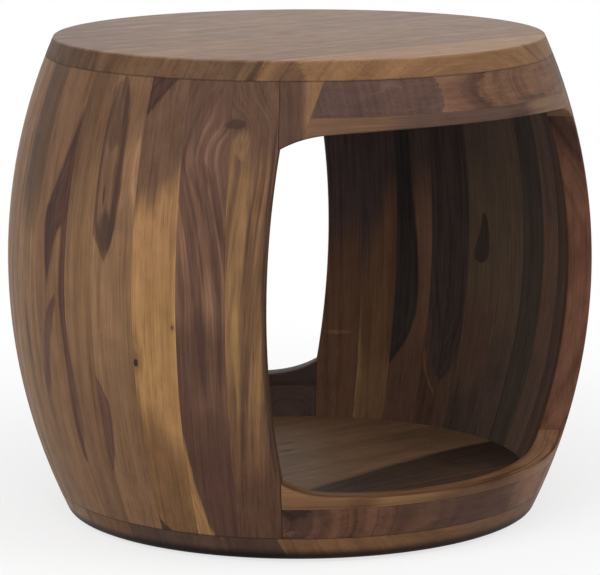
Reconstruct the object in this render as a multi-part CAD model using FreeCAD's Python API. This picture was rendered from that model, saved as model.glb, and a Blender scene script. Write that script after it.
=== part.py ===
import FreeCAD, Part
import math
import os

# Drum side table in solid wood: two walls of curved staves under a round top, open front and back.
# Millimetres. The origin is on the ground under the middle of the table, +Z is up, and the front
# opening faces -Y. Azimuths are degrees round +Z from the front, positive towards +X.

# Outline of the drum
table_height = 500.0
belly_radius = 305.0
belly_height = 262.0
top_draw_in = 51.0
foot_draw_in = 61.0
top_radius = belly_radius - top_draw_in
foot_radius = belly_radius - foot_draw_in

# Walls of staves: where they end beside the openings, and the degrees that each stave takes up
wall_thickness = 25.0
wall_end_azimuth = 43.0
left_stave_angles = (9.8, 9.5, 9.3, 9.8, 7.6, 10.5, 8.9, 8.9, 8.9, 10.8)
right_stave_angles = (10.0, 9.0, 9.3, 9.1, 9.2, 9.2, 10.2, 9.1, 8.4, 10.5)

# Round top, base and inner floor, each glued up from boards that run along X
top_thickness = 19.0
top_edge_radius = 2.0
top_board_count = 6
base_thickness = 24.0
base_edge_radius = 7.0
base_board_count = 7
floor_thickness = 14.0
floor_board_count = 5
floor_clearance = 0.3

# Lintel over each opening and sill under it: a rail, and a strip that the opening is shaped in
lintel_rail_height = 34.0
lintel_strip_height = 12.5
front_sill_rail_height = 33.0
back_sill_rail_height = 47.0
sill_strip_height = 9.0

# Upright block in the left corner of the lintel, which ends in a slanted joint
block_top_angle = 9.4
block_bottom_angle = 6.5

# Edges of the openings: a crown between two shoulders above and below, and bowed jambs
corner_drop = 17.5
crown_drop = 4.0
shoulder_angle = 10.0
jamb_bow_angle = 2.6

# Dowels that hold the staves and rails to the top and the base
dowel_diameter = 8.0
dowel_clearance = 0.1
dowel_end_gap = 0.5
dowel_depth_in_wall = 13.0
dowel_depth_in_top = 12.0
dowel_depth_in_base = 14.0
rail_dowel_count = 4
rail_dowel_end_angle = 4.7

# Glides under the base
glide_height = 3.0
glide_diameter = 30.0
glide_inset = 8.0
glide_count = 8

# Heights that follow
base_top = glide_height + base_thickness
floor_top = base_top + floor_thickness
top_underside = table_height - top_thickness
lintel_joint = top_underside - lintel_rail_height
lintel_crest = lintel_joint - lintel_strip_height

# The opening is cut from inside the walls to outside them, as shares of the belly radius
cut_start_share = 0.4
cut_end_share = 1.2

tolerance = 0.01
origin = FreeCAD.Vector(0, 0, 0)
up = FreeCAD.Vector(0, 0, 1)
across = FreeCAD.Vector(1, 0, 0)


def arc_radius(rise, bulge):
    """Radius of the arc that draws in by bulge over a height of rise on one side of its crest."""
    return (rise ** 2 + bulge ** 2) / (2 * bulge)


upper_arc = arc_radius(table_height - belly_height, belly_radius - top_radius)
lower_arc = arc_radius(belly_height, belly_radius - foot_radius)


def drum_radius(z, inset):
    """Radius of the drum at a height, measured to a face that lies inset below the outer face."""
    arc = upper_arc if z > belly_height else lower_arc
    return belly_radius - arc + math.sqrt((arc - inset) ** 2 - (z - belly_height) ** 2)


def side_edges(bottom, top, inset):
    """Arcs up the side of the drum between two heights."""
    levels = [bottom, top]
    if bottom < belly_height < top:
        levels.insert(1, belly_height)
    edges = []
    for low, high in zip(levels, levels[1:]):
        heights = (low, (low + high) / 2, high)
        points = [FreeCAD.Vector(drum_radius(z, inset), 0, z) for z in heights]
        edges.append(Part.Arc(*points).toShape())
    return edges


def level_edge(z, start_radius, end_radius):
    """Level straight edge of a profile."""
    return Part.makeLine(FreeCAD.Vector(start_radius, 0, z), FreeCAD.Vector(end_radius, 0, z))


def profile_face(edges):
    """Face inside a closed chain of edges."""
    return Part.Face(Part.Wire(Part.__sortEdges__(edges)))


def wall_segment(start, end, bottom, top):
    """Part of the drum's wall between two azimuths and two heights."""
    edges = side_edges(bottom, top, 0) + side_edges(bottom, top, wall_thickness)
    for z in (bottom, top):
        edges.append(level_edge(z, drum_radius(z, wall_thickness), drum_radius(z, 0)))
    profile = profile_face(edges).rotated(origin, up, start - 90)
    return profile.revolve(origin, up, end - start)


def disc(bottom, top, inset):
    """Round panel whose rim follows the drum."""
    edges = side_edges(bottom, top, inset)
    for z in (bottom, top):
        edges.append(level_edge(z, 0, drum_radius(z, inset)))
    edges.append(Part.makeLine(up * bottom, up * top))
    return profile_face(edges).revolve(origin, up, 360)


def is_level(edge, z):
    """Whether an edge lies flat at height z."""
    return abs(edge.BoundBox.ZMin - z) < tolerance and abs(edge.BoundBox.ZMax - z) < tolerance


def rounded_rim(panel, z, radius):
    """The panel with the edge of its rim at height z rounded over."""
    return panel.makeFillet(radius, [edge for edge in panel.Edges if is_level(edge, z)])


def slab(low_y, high_y):
    """Block that takes in everything between two planes across Y."""
    reach = 2 * belly_radius
    corner = FreeCAD.Vector(-reach, low_y, -table_height)
    return Part.makeBox(2 * reach, high_y - low_y, 3 * table_height, corner)


def boards(panel, radius, count):
    """The boards of a round panel, front to back, of one width."""
    width = 2 * radius / count
    limits = [width * index - radius for index in range(count + 1)]
    limits[0] -= width
    limits[-1] += width
    return [panel.common(slab(low, high)) for low, high in zip(limits, limits[1:])]


def on_outline(azimuth, z):
    """Point of the opening's outline, drawn on the plane that touches the belly in front."""
    return FreeCAD.Vector(belly_radius * math.tan(math.radians(azimuth)), -belly_radius, z)


def tangent_arc(start, direction, end):
    """Arc from start, where it follows direction, to end."""
    chord = end - start
    square = (chord - direction * chord.dot(direction)).normalize()
    radius = chord.dot(chord) / (2 * chord.dot(square))
    centre = start + square * radius
    middle = centre + (start + chord / 2 - centre).normalize() * radius
    return Part.Arc(start, middle, end).toShape()


def level_side(crest, towards_middle):
    """Upper or lower side of the opening: a crown between two shoulders."""
    crown_end = wall_end_azimuth - shoulder_angle
    crown_z = crest + towards_middle * crown_drop
    corner = on_outline(wall_end_azimuth, crest + towards_middle * corner_drop)
    right_end = on_outline(crown_end, crown_z)
    crown = Part.Arc(on_outline(-crown_end, crown_z), on_outline(0, crest), right_end).toShape()
    shoulder = tangent_arc(right_end, crown.tangentAt(crown.LastParameter), corner)
    return [shoulder.mirror(origin, across), crown, shoulder]


def jamb_side(side, sill_crest):
    """Bowed side of the opening, on the left (-1) or the right (1)."""
    low = on_outline(side * wall_end_azimuth, sill_crest + corner_drop)
    middle = on_outline(side * (wall_end_azimuth + jamb_bow_angle), (sill_crest + lintel_crest) / 2)
    high = on_outline(side * wall_end_azimuth, lintel_crest - corner_drop)
    return Part.Arc(low, middle, high).toShape()


def radial_block(edges):
    """Block that runs out through the front wall, with all its sides square to the drum's axis."""
    outline = Part.Wire(Part.__sortEdges__(edges))
    sections = []
    for share in (cut_start_share, cut_end_share):
        scale = FreeCAD.Matrix()
        scale.scale(FreeCAD.Vector(share, share, 1))
        sections.append(outline.transformGeometry(scale))
    return Part.makeLoft(sections, True, True)


def opening_block(sill_rail_height):
    """Block that fills an opening in the front wall."""
    sill_crest = base_top + sill_rail_height + sill_strip_height
    level_sides = level_side(lintel_crest, -1) + level_side(sill_crest, 1)
    return radial_block(level_sides + [jamb_side(-1, sill_crest), jamb_side(1, sill_crest)])


def corner_block_region():
    """Block that takes in the left corner of the lintel, up to the slanted joint."""
    slant = (block_top_angle - block_bottom_angle) / lintel_rail_height
    low = lintel_crest - 2 * corner_drop
    corners = []
    for z in (low, table_height):
        angle = block_bottom_angle + slant * (z - lintel_joint)
        corners.append(on_outline(angle - wall_end_azimuth, z))
    for z in (table_height, low):
        corners.append(on_outline(-wall_end_azimuth - jamb_bow_angle, z))
    return radial_block(Part.makePolygon(corners + corners[:1]).Edges)


def upright_pin(azimuth, radius, bottom, top, diameter):
    """Upright cylinder between two heights."""
    place = FreeCAD.Vector(0, -radius, bottom)
    pin = Part.makeCylinder(diameter / 2, top - bottom, place)
    return pin.rotated(origin, up, azimuth)


def dowels_and_holes(azimuths, seam, below, above, wall_middle):
    """Dowels across a level seam of the wall, centred in its thickness, and the holes they sit in."""
    radius = drum_radius(wall_middle, wall_thickness / 2)
    bottom = seam - below
    top = seam + above
    dowels = []
    holes = []
    for azimuth in azimuths:
        pin = upright_pin(azimuth, radius, bottom + dowel_end_gap, top - dowel_end_gap, dowel_diameter)
        dowels.append(pin)
        holes.append(upright_pin(azimuth, radius, bottom, top, dowel_diameter + 2 * dowel_clearance))
    return Part.makeCompound(dowels), Part.makeCompound(holes)


def stave_seams(angles):
    """Azimuths of the seams of a wall, from its front end to its back end."""
    seams = [wall_end_azimuth]
    for angle in angles:
        seams.append(seams[-1] + angle * (180 - 2 * wall_end_azimuth) / sum(angles))
    return seams


def stave_middles(angles):
    """Azimuths of the middles of a wall's staves."""
    seams = stave_seams(angles)
    return [(near + far) / 2 for near, far in zip(seams, seams[1:])]


def rail_dowel_azimuths():
    """Azimuths of the dowels along a front rail."""
    reach = wall_end_azimuth - rail_dowel_end_angle
    return [reach * (2 * index / (rail_dowel_count - 1) - 1) for index in range(rail_dowel_count)]


def opening_frame(opening, sill_rail_height, holes):
    """Pieces of the lintel over an opening in the front wall and of the sill under it."""
    middle = opening.CenterOfMass.z
    sill_joint = base_top + sill_rail_height
    levels = {
        "lintel_block": (middle, top_underside),
        "lintel_rail": (lintel_joint, top_underside),
        "lintel_strip": (middle, lintel_joint),
        "sill_strip": (sill_joint, middle),
        "sill_rail": (base_top, sill_joint),
    }
    frame = {}
    for name, (bottom, height) in levels.items():
        segment = wall_segment(-wall_end_azimuth, wall_end_azimuth, bottom, height)
        frame[name] = segment.cut(opening).cut(holes)
    corner_region = corner_block_region()
    frame["lintel_block"] = frame["lintel_block"].common(corner_region)
    for name in ("lintel_rail", "lintel_strip"):
        frame[name] = frame[name].cut(corner_region)
    return frame


def turned_half(shape):
    """The shape turned half round the drum's axis."""
    return shape.rotated(origin, up, 180)


pieces = {}

# Dowels, which set the holes in all that they join
dowel_azimuths = stave_middles(right_stave_angles)
dowel_azimuths += [-azimuth for azimuth in stave_middles(left_stave_angles)]
for azimuth in rail_dowel_azimuths():
    dowel_azimuths += [azimuth, azimuth + 180]
pieces["top_dowels"], top_holes = dowels_and_holes(
    dowel_azimuths, top_underside, dowel_depth_in_wall, dowel_depth_in_top,
    top_underside - dowel_depth_in_wall / 2)
pieces["base_dowels"], base_holes = dowels_and_holes(
    dowel_azimuths, base_top, dowel_depth_in_base, dowel_depth_in_wall,
    base_top + dowel_depth_in_wall / 2)

# Round top, base and inner floor
top = rounded_rim(disc(top_underside, table_height, 0), table_height, top_edge_radius)
base = rounded_rim(disc(glide_height, base_top, 0), glide_height, base_edge_radius)
floor = disc(base_top, floor_top, wall_thickness + floor_clearance)
panels = (
    ("top_board", top.cut(top_holes), drum_radius(top_underside, 0), top_board_count),
    ("base_board", base.cut(base_holes), drum_radius(base_top, 0), base_board_count),
    ("floor_board", floor, drum_radius(floor_top, wall_thickness + floor_clearance), floor_board_count),
)
for name, panel, radius, count in panels:
    for number, board in enumerate(boards(panel, radius, count), 1):
        pieces[f"{name}_{number}"] = board

# Walls, with each stave numbered from the front
front_opening = opening_block(front_sill_rail_height)
back_opening = opening_block(back_sill_rail_height)
wall_cuts = Part.makeCompound([front_opening, turned_half(back_opening)])
wall_holes = Part.makeCompound([top_holes, base_holes])
walls = (("left_stave", left_stave_angles, -1), ("right_stave", right_stave_angles, 1))
for name, angles, side in walls:
    seams = stave_seams(angles)
    for number, (near, far) in enumerate(zip(seams, seams[1:]), 1):
        start, end = sorted((side * near, side * far))
        stave = wall_segment(start, end, base_top, top_underside)
        pieces[f"{name}_{number}"] = stave.cut(wall_cuts).cut(wall_holes)

# Lintels and sills: the back ones are made in front and turned half round
for name, piece in opening_frame(front_opening, front_sill_rail_height, wall_holes).items():
    pieces[f"front_{name}"] = piece
for name, piece in opening_frame(back_opening, back_sill_rail_height, wall_holes).items():
    pieces[f"back_{name}"] = turned_half(piece)

# Glides under the rim of the base
glide_circle = drum_radius(glide_height, 0) - base_edge_radius - glide_inset - glide_diameter / 2
glides = []
for index in range(glide_count):
    azimuth = 360 * (index + 0.5) / glide_count
    glides.append(upright_pin(azimuth, glide_circle, 0, glide_height, glide_diameter))
pieces["floor_glides"] = Part.makeCompound(glides)

os.makedirs("parts", exist_ok=True)
for name, piece in pieces.items():
    solids = piece.Solids
    shape = solids[0] if len(solids) == 1 else Part.makeCompound(solids)
    shape.exportStep(f"parts/{name}.step")
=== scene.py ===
"""Drum side table in streaked hardwood: two stave walls, a round top, a round base and two openings.

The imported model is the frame. Each piece that shows is built again here, with eased edges and its
own wood, in metres and in the same frame. Azimuths are in degrees, 0 at the front, growing to the right.
"""

import logging
import math
from dataclasses import dataclass, field
from enum import Enum
from typing import Callable, Optional, Sequence, Union

import bmesh
import bpy
from mathutils import Matrix, Vector


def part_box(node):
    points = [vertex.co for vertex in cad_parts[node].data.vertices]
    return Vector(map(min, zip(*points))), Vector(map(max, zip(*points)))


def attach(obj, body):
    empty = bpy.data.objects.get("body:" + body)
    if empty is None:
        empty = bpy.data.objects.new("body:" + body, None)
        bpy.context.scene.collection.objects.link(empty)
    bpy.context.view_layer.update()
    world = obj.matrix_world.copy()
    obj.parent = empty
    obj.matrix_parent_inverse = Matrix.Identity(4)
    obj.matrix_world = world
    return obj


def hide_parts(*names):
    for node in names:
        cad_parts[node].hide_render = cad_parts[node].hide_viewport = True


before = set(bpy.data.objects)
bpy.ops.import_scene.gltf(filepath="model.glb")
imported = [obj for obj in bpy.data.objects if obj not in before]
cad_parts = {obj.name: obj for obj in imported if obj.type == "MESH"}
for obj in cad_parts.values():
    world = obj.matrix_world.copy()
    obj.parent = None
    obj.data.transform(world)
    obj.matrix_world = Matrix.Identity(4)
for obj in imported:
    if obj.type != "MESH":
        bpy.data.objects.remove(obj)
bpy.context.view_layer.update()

log = logging.getLogger("drum_table")

MM = 0.001
BODY = "root"

Number = Union["Value", float]
Colour = tuple[float, float, float]
Pair = tuple[float, float]
Edge = tuple[Pair, ...]


def math_node(operation: str, swapped: bool = False) -> Callable[..., "Value"]:
    """A method that adds one Math node.

    Args:
        operation: What the node works out.
        swapped: Whether the value itself is the last term.

    Returns:
        The method, which takes the other terms.
    """
    def method(self: "Value", *terms: Number) -> "Value":
        """The node's result."""
        order = (*terms, self) if swapped else (self, *terms)
        return self.graph.node("ShaderNodeMath", {"operation": operation}, dict(enumerate(order)))
    return method


class Value:
    """A node's output that can stand in a Python sum."""

    __add__, __radd__ = math_node("ADD"), math_node("ADD", True)
    __sub__, __rsub__ = math_node("SUBTRACT"), math_node("SUBTRACT", True)
    __mul__, __rmul__ = math_node("MULTIPLY"), math_node("MULTIPLY", True)
    __truediv__, __pow__, __abs__ = math_node("DIVIDE"), math_node("POWER"), math_node("ABSOLUTE")
    root, sine, cosine = math_node("SQRT"), math_node("SINE"), math_node("COSINE")
    tangent, arctangent = math_node("TANGENT"), math_node("ARCTANGENT")
    least, most, above = math_node("MINIMUM"), math_node("MAXIMUM"), math_node("GREATER_THAN")

    def __init__(self, graph: "Graph", socket: bpy.types.NodeSocket) -> None:
        """Keeps the socket and the graph that it belongs to."""
        self.graph = graph
        self.socket = socket

    def other(self, name: Union[str, int]) -> "Value":
        """Another output of the same node."""
        return Value(self.graph, self.socket.node.outputs[name])

    def ramp(self, low: Number, high: Number, smooth: bool = True) -> "Value":
        """A rise from 0 at low to 1 at high.

        Args:
            low: Where the rise starts.
            high: Where it ends; it may be the lesser of the two.
            smooth: Whether the rise eases in and out.

        Returns:
            The rise, held between 0 and 1.
        """
        settings = {"interpolation_type": "SMOOTHSTEP" if smooth else "LINEAR"}
        return self.graph.node("ShaderNodeMapRange", settings, {0: self, 1: low, 2: high, 3: 0.0, 4: 1.0})


class Graph:
    """A node tree that is filled from Python, for materials and for geometry alike."""

    def __init__(self, tree: bpy.types.NodeTree) -> None:
        """Takes a tree and empties it."""
        self.tree = tree
        tree.nodes.clear()

    def node(self, kind: str, settings: Optional[dict] = None, sockets: Optional[dict] = None,
             out: Union[int, str] = 0) -> Value:
        """Adds one node.

        Args:
            kind: The node's type.
            settings: Its properties, set first, and points for a curve.
            sockets: Values or links by the input's name or number.
            out: Which output is given back.

        Returns:
            The chosen output, or the node's first input where it has no output.
        """
        node = self.tree.nodes.new(kind)
        for name, value in (settings or {}).items():
            self._set(node, name, value)
        for key, value in (sockets or {}).items():
            self.feed(node.inputs[key], value)
        return Value(self, node.outputs[out] if len(node.outputs) else node.inputs[0])

    def feed(self, socket: bpy.types.NodeSocket, value: object) -> None:
        """Links a value to a socket, or sets the socket.

        Args:
            socket: The socket.
            value: A node's output, or what the socket is set to.
        """
        if isinstance(value, Value):
            self.tree.links.new(value.socket, socket)
        else:
            socket.default_value = value

    @staticmethod
    def _set(node: bpy.types.Node, name: str, value: object) -> None:
        """Sets one property of a node.

        Args:
            node: The node.
            name: The property, or points for the points of a curve.
            value: What it is set to.
        """
        if name != "points":
            setattr(node, name, value)
            return
        curve = node.mapping.curves[0]
        while len(curve.points) > 2:
            curve.points.remove(curve.points[1])
        for index, (x, y) in enumerate(value):
            if index < 2:
                curve.points[index].location = (x, y)
            else:
                curve.points.new(x, y)
        for point in curve.points:
            point.handle_type = "AUTO_CLAMPED"
        node.mapping.update()

    def vector(self, x: Number = 0.0, y: Number = 0.0, z: Number = 0.0) -> Value:
        """Three numbers as one vector."""
        return self.node("ShaderNodeCombineXYZ", None, {0: x, 1: y, 2: z})

    def parts(self, vector: Value) -> tuple[Value, Value, Value]:
        """A vector's three numbers."""
        first = self.node("ShaderNodeSeparateXYZ", None, {0: vector})
        return first, first.other(1), first.other(2)

    def move(self, vector: Value, other: Union[Value, Sequence[float]], operation: str = "ADD") -> Value:
        """A sum of two vectors, or another Vector Math of them."""
        return self.node("ShaderNodeVectorMath", {"operation": operation}, {0: vector, 1: other})

    def shade(self, colour: Union[Value, Colour], tone: Value) -> Value:
        """A colour made lighter or darker."""
        return self.node("ShaderNodeVectorMath", {"operation": "SCALE"}, {0: colour, "Scale": tone})

    def blend(self, share: Number, first: Union[Value, tuple], second: Union[Value, tuple],
              kind: str = "MIX") -> Value:
        """A mix of two colours.

        Args:
            share: How much of the second colour shows.
            first: The colour below.
            second: The colour on top.
            kind: The way that they mix.

        Returns:
            The mixed colour.
        """
        settings = {"data_type": "RGBA", "blend_type": kind}
        return self.node("ShaderNodeMix", settings, {0: share, 6: first, 7: second}, out=2)

    def noise(self, at: Value, scale: float = 1.0, detail: float = 2.0, rough: float = 0.5,
              colour: bool = False) -> Value:
        """Smooth noise, about 0 to 1.

        Args:
            at: Where it is read.
            scale: How fine it is.
            detail: How many finer layers it has.
            rough: How strong the finer layers are.
            colour: Whether three values come back in place of one.

        Returns:
            The noise.
        """
        sockets = {"Vector": at, "Scale": scale, "Detail": detail, "Roughness": rough}
        return self.node("ShaderNodeTexNoise", None, sockets, out=1 if colour else 0)


@dataclass(frozen=True)
class Drum:
    """The bulged form that all the pieces follow, in metres."""

    height: float = 0.500
    belly_radius: float = 0.305
    belly_height: float = 0.262
    top_radius: float = 0.254
    foot_radius: float = 0.244
    wall: float = 0.025
    wall_end: float = 43.0
    top_thickness: float = 0.019
    base_thickness: float = 0.024
    floor_thickness: float = 0.014
    glide_height: float = 0.003

    @property
    def upper_arc(self) -> float:
        """Radius of the side's arc above the belly."""
        return self._arc(self.height - self.belly_height, self.belly_radius - self.top_radius)

    @property
    def lower_arc(self) -> float:
        """Radius of the side's arc below the belly."""
        return self._arc(self.belly_height, self.belly_radius - self.foot_radius)

    @property
    def base_top(self) -> float:
        """Height of the base's upper face, on which the walls stand."""
        return self.glide_height + self.base_thickness

    @property
    def floor_top(self) -> float:
        """Height of the inner floor."""
        return self.base_top + self.floor_thickness

    @property
    def top_underside(self) -> float:
        """Height of the top's lower face."""
        return self.height - self.top_thickness

    @staticmethod
    def _arc(rise: float, bulge: float) -> float:
        """Radius of an arc that bulges out over a rise."""
        return (rise * rise + bulge * bulge) / (2 * bulge)

    def radius(self, z: float, inset: float = 0.0) -> float:
        """Distance from the axis at a height.

        Args:
            z: The height.
            inset: How far inside the outer face.

        Returns:
            The radius.
        """
        arc = self.upper_arc if z > self.belly_height else self.lower_arc
        return self.belly_radius - arc + math.sqrt((arc - inset) ** 2 - (z - self.belly_height) ** 2)

    def point(self, azimuth: float, z: float, inset: float = 0.0) -> Vector:
        """A point of the wall.

        Args:
            azimuth: Degrees from the front.
            z: The height.
            inset: How far inside the outer face.

        Returns:
            The point.
        """
        angle = math.radians(azimuth)
        radius = self.radius(z, inset)
        return Vector((radius * math.sin(angle), -radius * math.cos(angle), z))


DRUM = Drum()
WALL_DEPTH = -0.275
TOP_ROUND = 2.0 * MM
BASE_ROUND = 7.0 * MM
FLOOR_CLEARANCE = 0.3 * MM


@dataclass(frozen=True)
class Opening:
    """Outline of an opening: level sides with a crown and two shoulders, and bowed jambs."""

    sill_rail: float
    sill_strip: float = 0.009
    lintel_rail: float = 0.034
    lintel_strip: float = 0.0125
    corner_drop: float = 0.0175
    crown_drop: float = 0.004
    shoulder_angle: float = 10.0
    jamb_bow: float = 2.6
    block_top: float = 9.4
    block_bottom: float = 6.5

    @property
    def sill_joint(self) -> float:
        """Height of the joint between the sill's rail and its strip."""
        return DRUM.base_top + self.sill_rail

    @property
    def sill_crest(self) -> float:
        """Lowest height of the opening's lower side."""
        return self.sill_joint + self.sill_strip

    @property
    def lintel_joint(self) -> float:
        """Height of the joint between the lintel's rail and its strip."""
        return DRUM.top_underside - self.lintel_rail

    @property
    def lintel_crest(self) -> float:
        """Greatest height of the opening's upper side."""
        return self.lintel_joint - self.lintel_strip

    @property
    def low_corner(self) -> float:
        """Height at which a jamb starts."""
        return self.sill_crest + self.corner_drop

    @property
    def high_corner(self) -> float:
        """Height at which a jamb ends."""
        return self.lintel_crest - self.corner_drop

    @staticmethod
    def _across(azimuth: float) -> float:
        """Distance across the plane that touches the belly in front."""
        return DRUM.belly_radius * math.tan(math.radians(azimuth))

    def drop(self, azimuth: float) -> float:
        """How far a level side has left its crest at an azimuth.

        Args:
            azimuth: Degrees from the opening's middle.

        Returns:
            The distance, towards the opening's middle height.
        """
        x = abs(self._across(azimuth))
        crown_end = self._across(DRUM.wall_end - self.shoulder_angle)
        crown_radius = (crown_end ** 2 + self.crown_drop ** 2) / (2 * self.crown_drop)
        if x <= crown_end:
            return crown_radius - math.sqrt(crown_radius ** 2 - x * x)
        lean = math.asin(crown_end / crown_radius)
        chord = (self._across(DRUM.wall_end) - crown_end, self.corner_drop - self.crown_drop)
        square = (-math.sin(lean), math.cos(lean))
        reach = chord[0] * square[0] + chord[1] * square[1]
        radius = (chord[0] ** 2 + chord[1] ** 2) / (2 * reach)
        middle = (crown_end + square[0] * radius, self.crown_drop + square[1] * radius)
        return middle[1] - math.sqrt(max(radius ** 2 - (x - middle[0]) ** 2, 0.0))

    def lintel_edge(self, azimuth: float) -> float:
        """Height of the opening's upper side."""
        return self.lintel_crest - self.drop(azimuth)

    def sill_edge(self, azimuth: float) -> float:
        """Height of the opening's lower side."""
        return self.sill_crest + self.drop(azimuth)

    def block_edge(self, z: float) -> float:
        """Azimuth of the slanted joint beside the lintel's corner block.

        Args:
            z: The height.

        Returns:
            Degrees from the opening's middle.
        """
        low = self.lintel_crest - 2 * self.corner_drop
        slant = (self.block_top - self.block_bottom) / self.lintel_rail
        ends = []
        for level in (low, DRUM.height):
            along = self.block_bottom + slant * (level - self.lintel_joint)
            ends.append(self._across(along - DRUM.wall_end))
        share = (z - low) / (DRUM.height - low)
        return math.degrees(math.atan((ends[0] + share * (ends[1] - ends[0])) / DRUM.belly_radius))


FRONT = Opening(sill_rail=0.033)
BACK = Opening(sill_rail=0.047)

SHARP = math.radians(25)
HAIR = 0.3 * MM
EASE = 3.0 * MM


@dataclass(frozen=True)
class Piece:
    """One finished piece: which node it stands for, and a slot name that it holds."""

    node: str
    slot: str

    def finish(self, mesh: bpy.types.Mesh, wood: bpy.types.Material, width: float = EASE,
               segments: int = 3) -> bpy.types.Object:
        """Bevels a mesh by its edge weights and puts it in the place of its node.

        Args:
            mesh: The closed mesh, with the attribute bevel_weight_edge.
            wood: Its material.
            width: Bevel width at a weight of 1.
            segments: Faces across a bevel.

        Returns:
            The piece's object.
        """
        rough = bpy.data.objects.new(self.node + "_rough", mesh)
        bpy.context.scene.collection.objects.link(rough)
        bevel = rough.modifiers.new("eased_edges", "BEVEL")
        bevel.limit_method = "WEIGHT"
        bevel.width = width
        bevel.segments = segments
        bevel.use_clamp_overlap = True
        graph = bpy.context.evaluated_depsgraph_get()
        eased = bpy.data.meshes.new_from_object(rough.evaluated_get(graph))
        bpy.data.objects.remove(rough)
        eased.name = self.node + "_look"
        eased.materials.clear()
        eased.materials.append(wood)
        eased.shade_smooth()
        eased.set_sharp_from_angle(angle=SHARP)
        piece = bpy.data.objects.new(self.node + "_look", eased)
        bpy.context.scene.collection.objects.link(piece)
        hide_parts(self.node)
        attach(piece, BODY)
        log.info("%s: %d faces, %s", piece.name, len(eased.polygons), wood.name)
        return piece


def weigh(mesh: bmesh.types.BMesh, eased: Callable[[Vector], bool]) -> None:
    """Gives each sharp edge a bevel weight.

    Args:
        mesh: The mesh, with its faces turned outwards.
        eased: Whether an edge with this middle point gets the full width; the others get a hairline.
    """
    layer = mesh.edges.layers.float.new("bevel_weight_edge")
    for edge in mesh.edges:
        if len(edge.link_faces) == 2 and edge.calc_face_angle() > SHARP:
            middle = (edge.verts[0].co + edge.verts[1].co) / 2
            edge[layer] = 1.0 if eased(middle) else HAIR / EASE


def grid_solid(name: str, columns: int, rows: int, place: Callable[[float, float, float], Vector],
               eased: Callable[[Vector], bool]) -> bpy.types.Mesh:
    """A closed block of faces, bent into place.

    Args:
        name: Name of the mesh.
        columns: Faces along the first share.
        rows: Faces along the second share.
        place: Gives a point from three shares of 0 to 1: along, up and inwards.
        eased: Which sharp edges get the full bevel.

    Returns:
        The mesh.
    """
    mesh = bmesh.new()
    points = {}
    for i in range(columns + 1):
        for j in range(rows + 1):
            for k in (0, 1):
                points[i, j, k] = mesh.verts.new(place(i / columns, j / rows, float(k)))
    for k in (0, 1):
        for i in range(columns):
            for j in range(rows):
                corners = ((i, j, k), (i + 1, j, k), (i + 1, j + 1, k), (i, j + 1, k))
                mesh.faces.new([points[corner] for corner in corners])
    for j in (0, rows):
        for i in range(columns):
            mesh.faces.new((points[i, j, 0], points[i + 1, j, 0], points[i + 1, j, 1], points[i, j, 1]))
    for i in (0, columns):
        for j in range(rows):
            mesh.faces.new((points[i, j, 0], points[i, j + 1, 0], points[i, j + 1, 1], points[i, j, 1]))
    bmesh.ops.recalc_face_normals(mesh, faces=mesh.faces)
    weigh(mesh, eased)
    result = bpy.data.meshes.new(name)
    mesh.to_mesh(result)
    mesh.free()
    return result


class Tree(Graph):
    """A geometry tree with named inputs that ends in one mesh of one material."""

    def __init__(self, name: str) -> None:
        """Starts an empty tree with a material input.

        Args:
            name: Name of the tree.
        """
        super().__init__(bpy.data.node_groups.new(name, "GeometryNodeTree"))
        self.tree.interface.new_socket("Geometry", in_out="OUTPUT", socket_type="NodeSocketGeometry")
        self.wood = self.entry("Wood", "NodeSocketMaterial")

    def entry(self, name: str, kind: str = "NodeSocketFloat") -> Value:
        """A named input of the tree."""
        self.tree.interface.new_socket(name, in_out="INPUT", socket_type=kind)
        return self.node("NodeGroupInput", out=name)

    def close(self, geometry: Value) -> None:
        """Ends the tree with plain faces of its material.

        Args:
            geometry: What the tree has made.
        """
        plain = self.node("GeometryNodeRealizeInstances", None, {0: geometry})
        dressed = self.node("GeometryNodeSetMaterial", None, {"Geometry": plain, "Material": self.wood})
        self.node("NodeGroupOutput", None, {0: dressed})

    def make(self, name: str, values: dict) -> bpy.types.Mesh:
        """Runs the tree.

        Args:
            name: Name of the mesh.
            values: The tree's inputs by name.

        Returns:
            The result as a plain mesh.
        """
        holder = bpy.data.objects.new(name, bpy.data.meshes.new(name))
        bpy.context.scene.collection.objects.link(holder)
        modifier = holder.modifiers.new(self.tree.name, "NODES")
        modifier.node_group = self.tree
        for item in self.tree.interface.items_tree:
            if item.in_out == "INPUT":
                modifier[item.identifier] = values[item.name]
        graph = bpy.context.evaluated_depsgraph_get()
        result = bpy.data.meshes.new_from_object(holder.evaluated_get(graph))
        holder.modifiers.remove(modifier)
        bpy.data.objects.remove(holder)
        result.name = name
        return result


class Side(Enum):
    """The two walls, by the sign of their azimuths."""

    LEFT = -1
    RIGHT = 1


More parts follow.
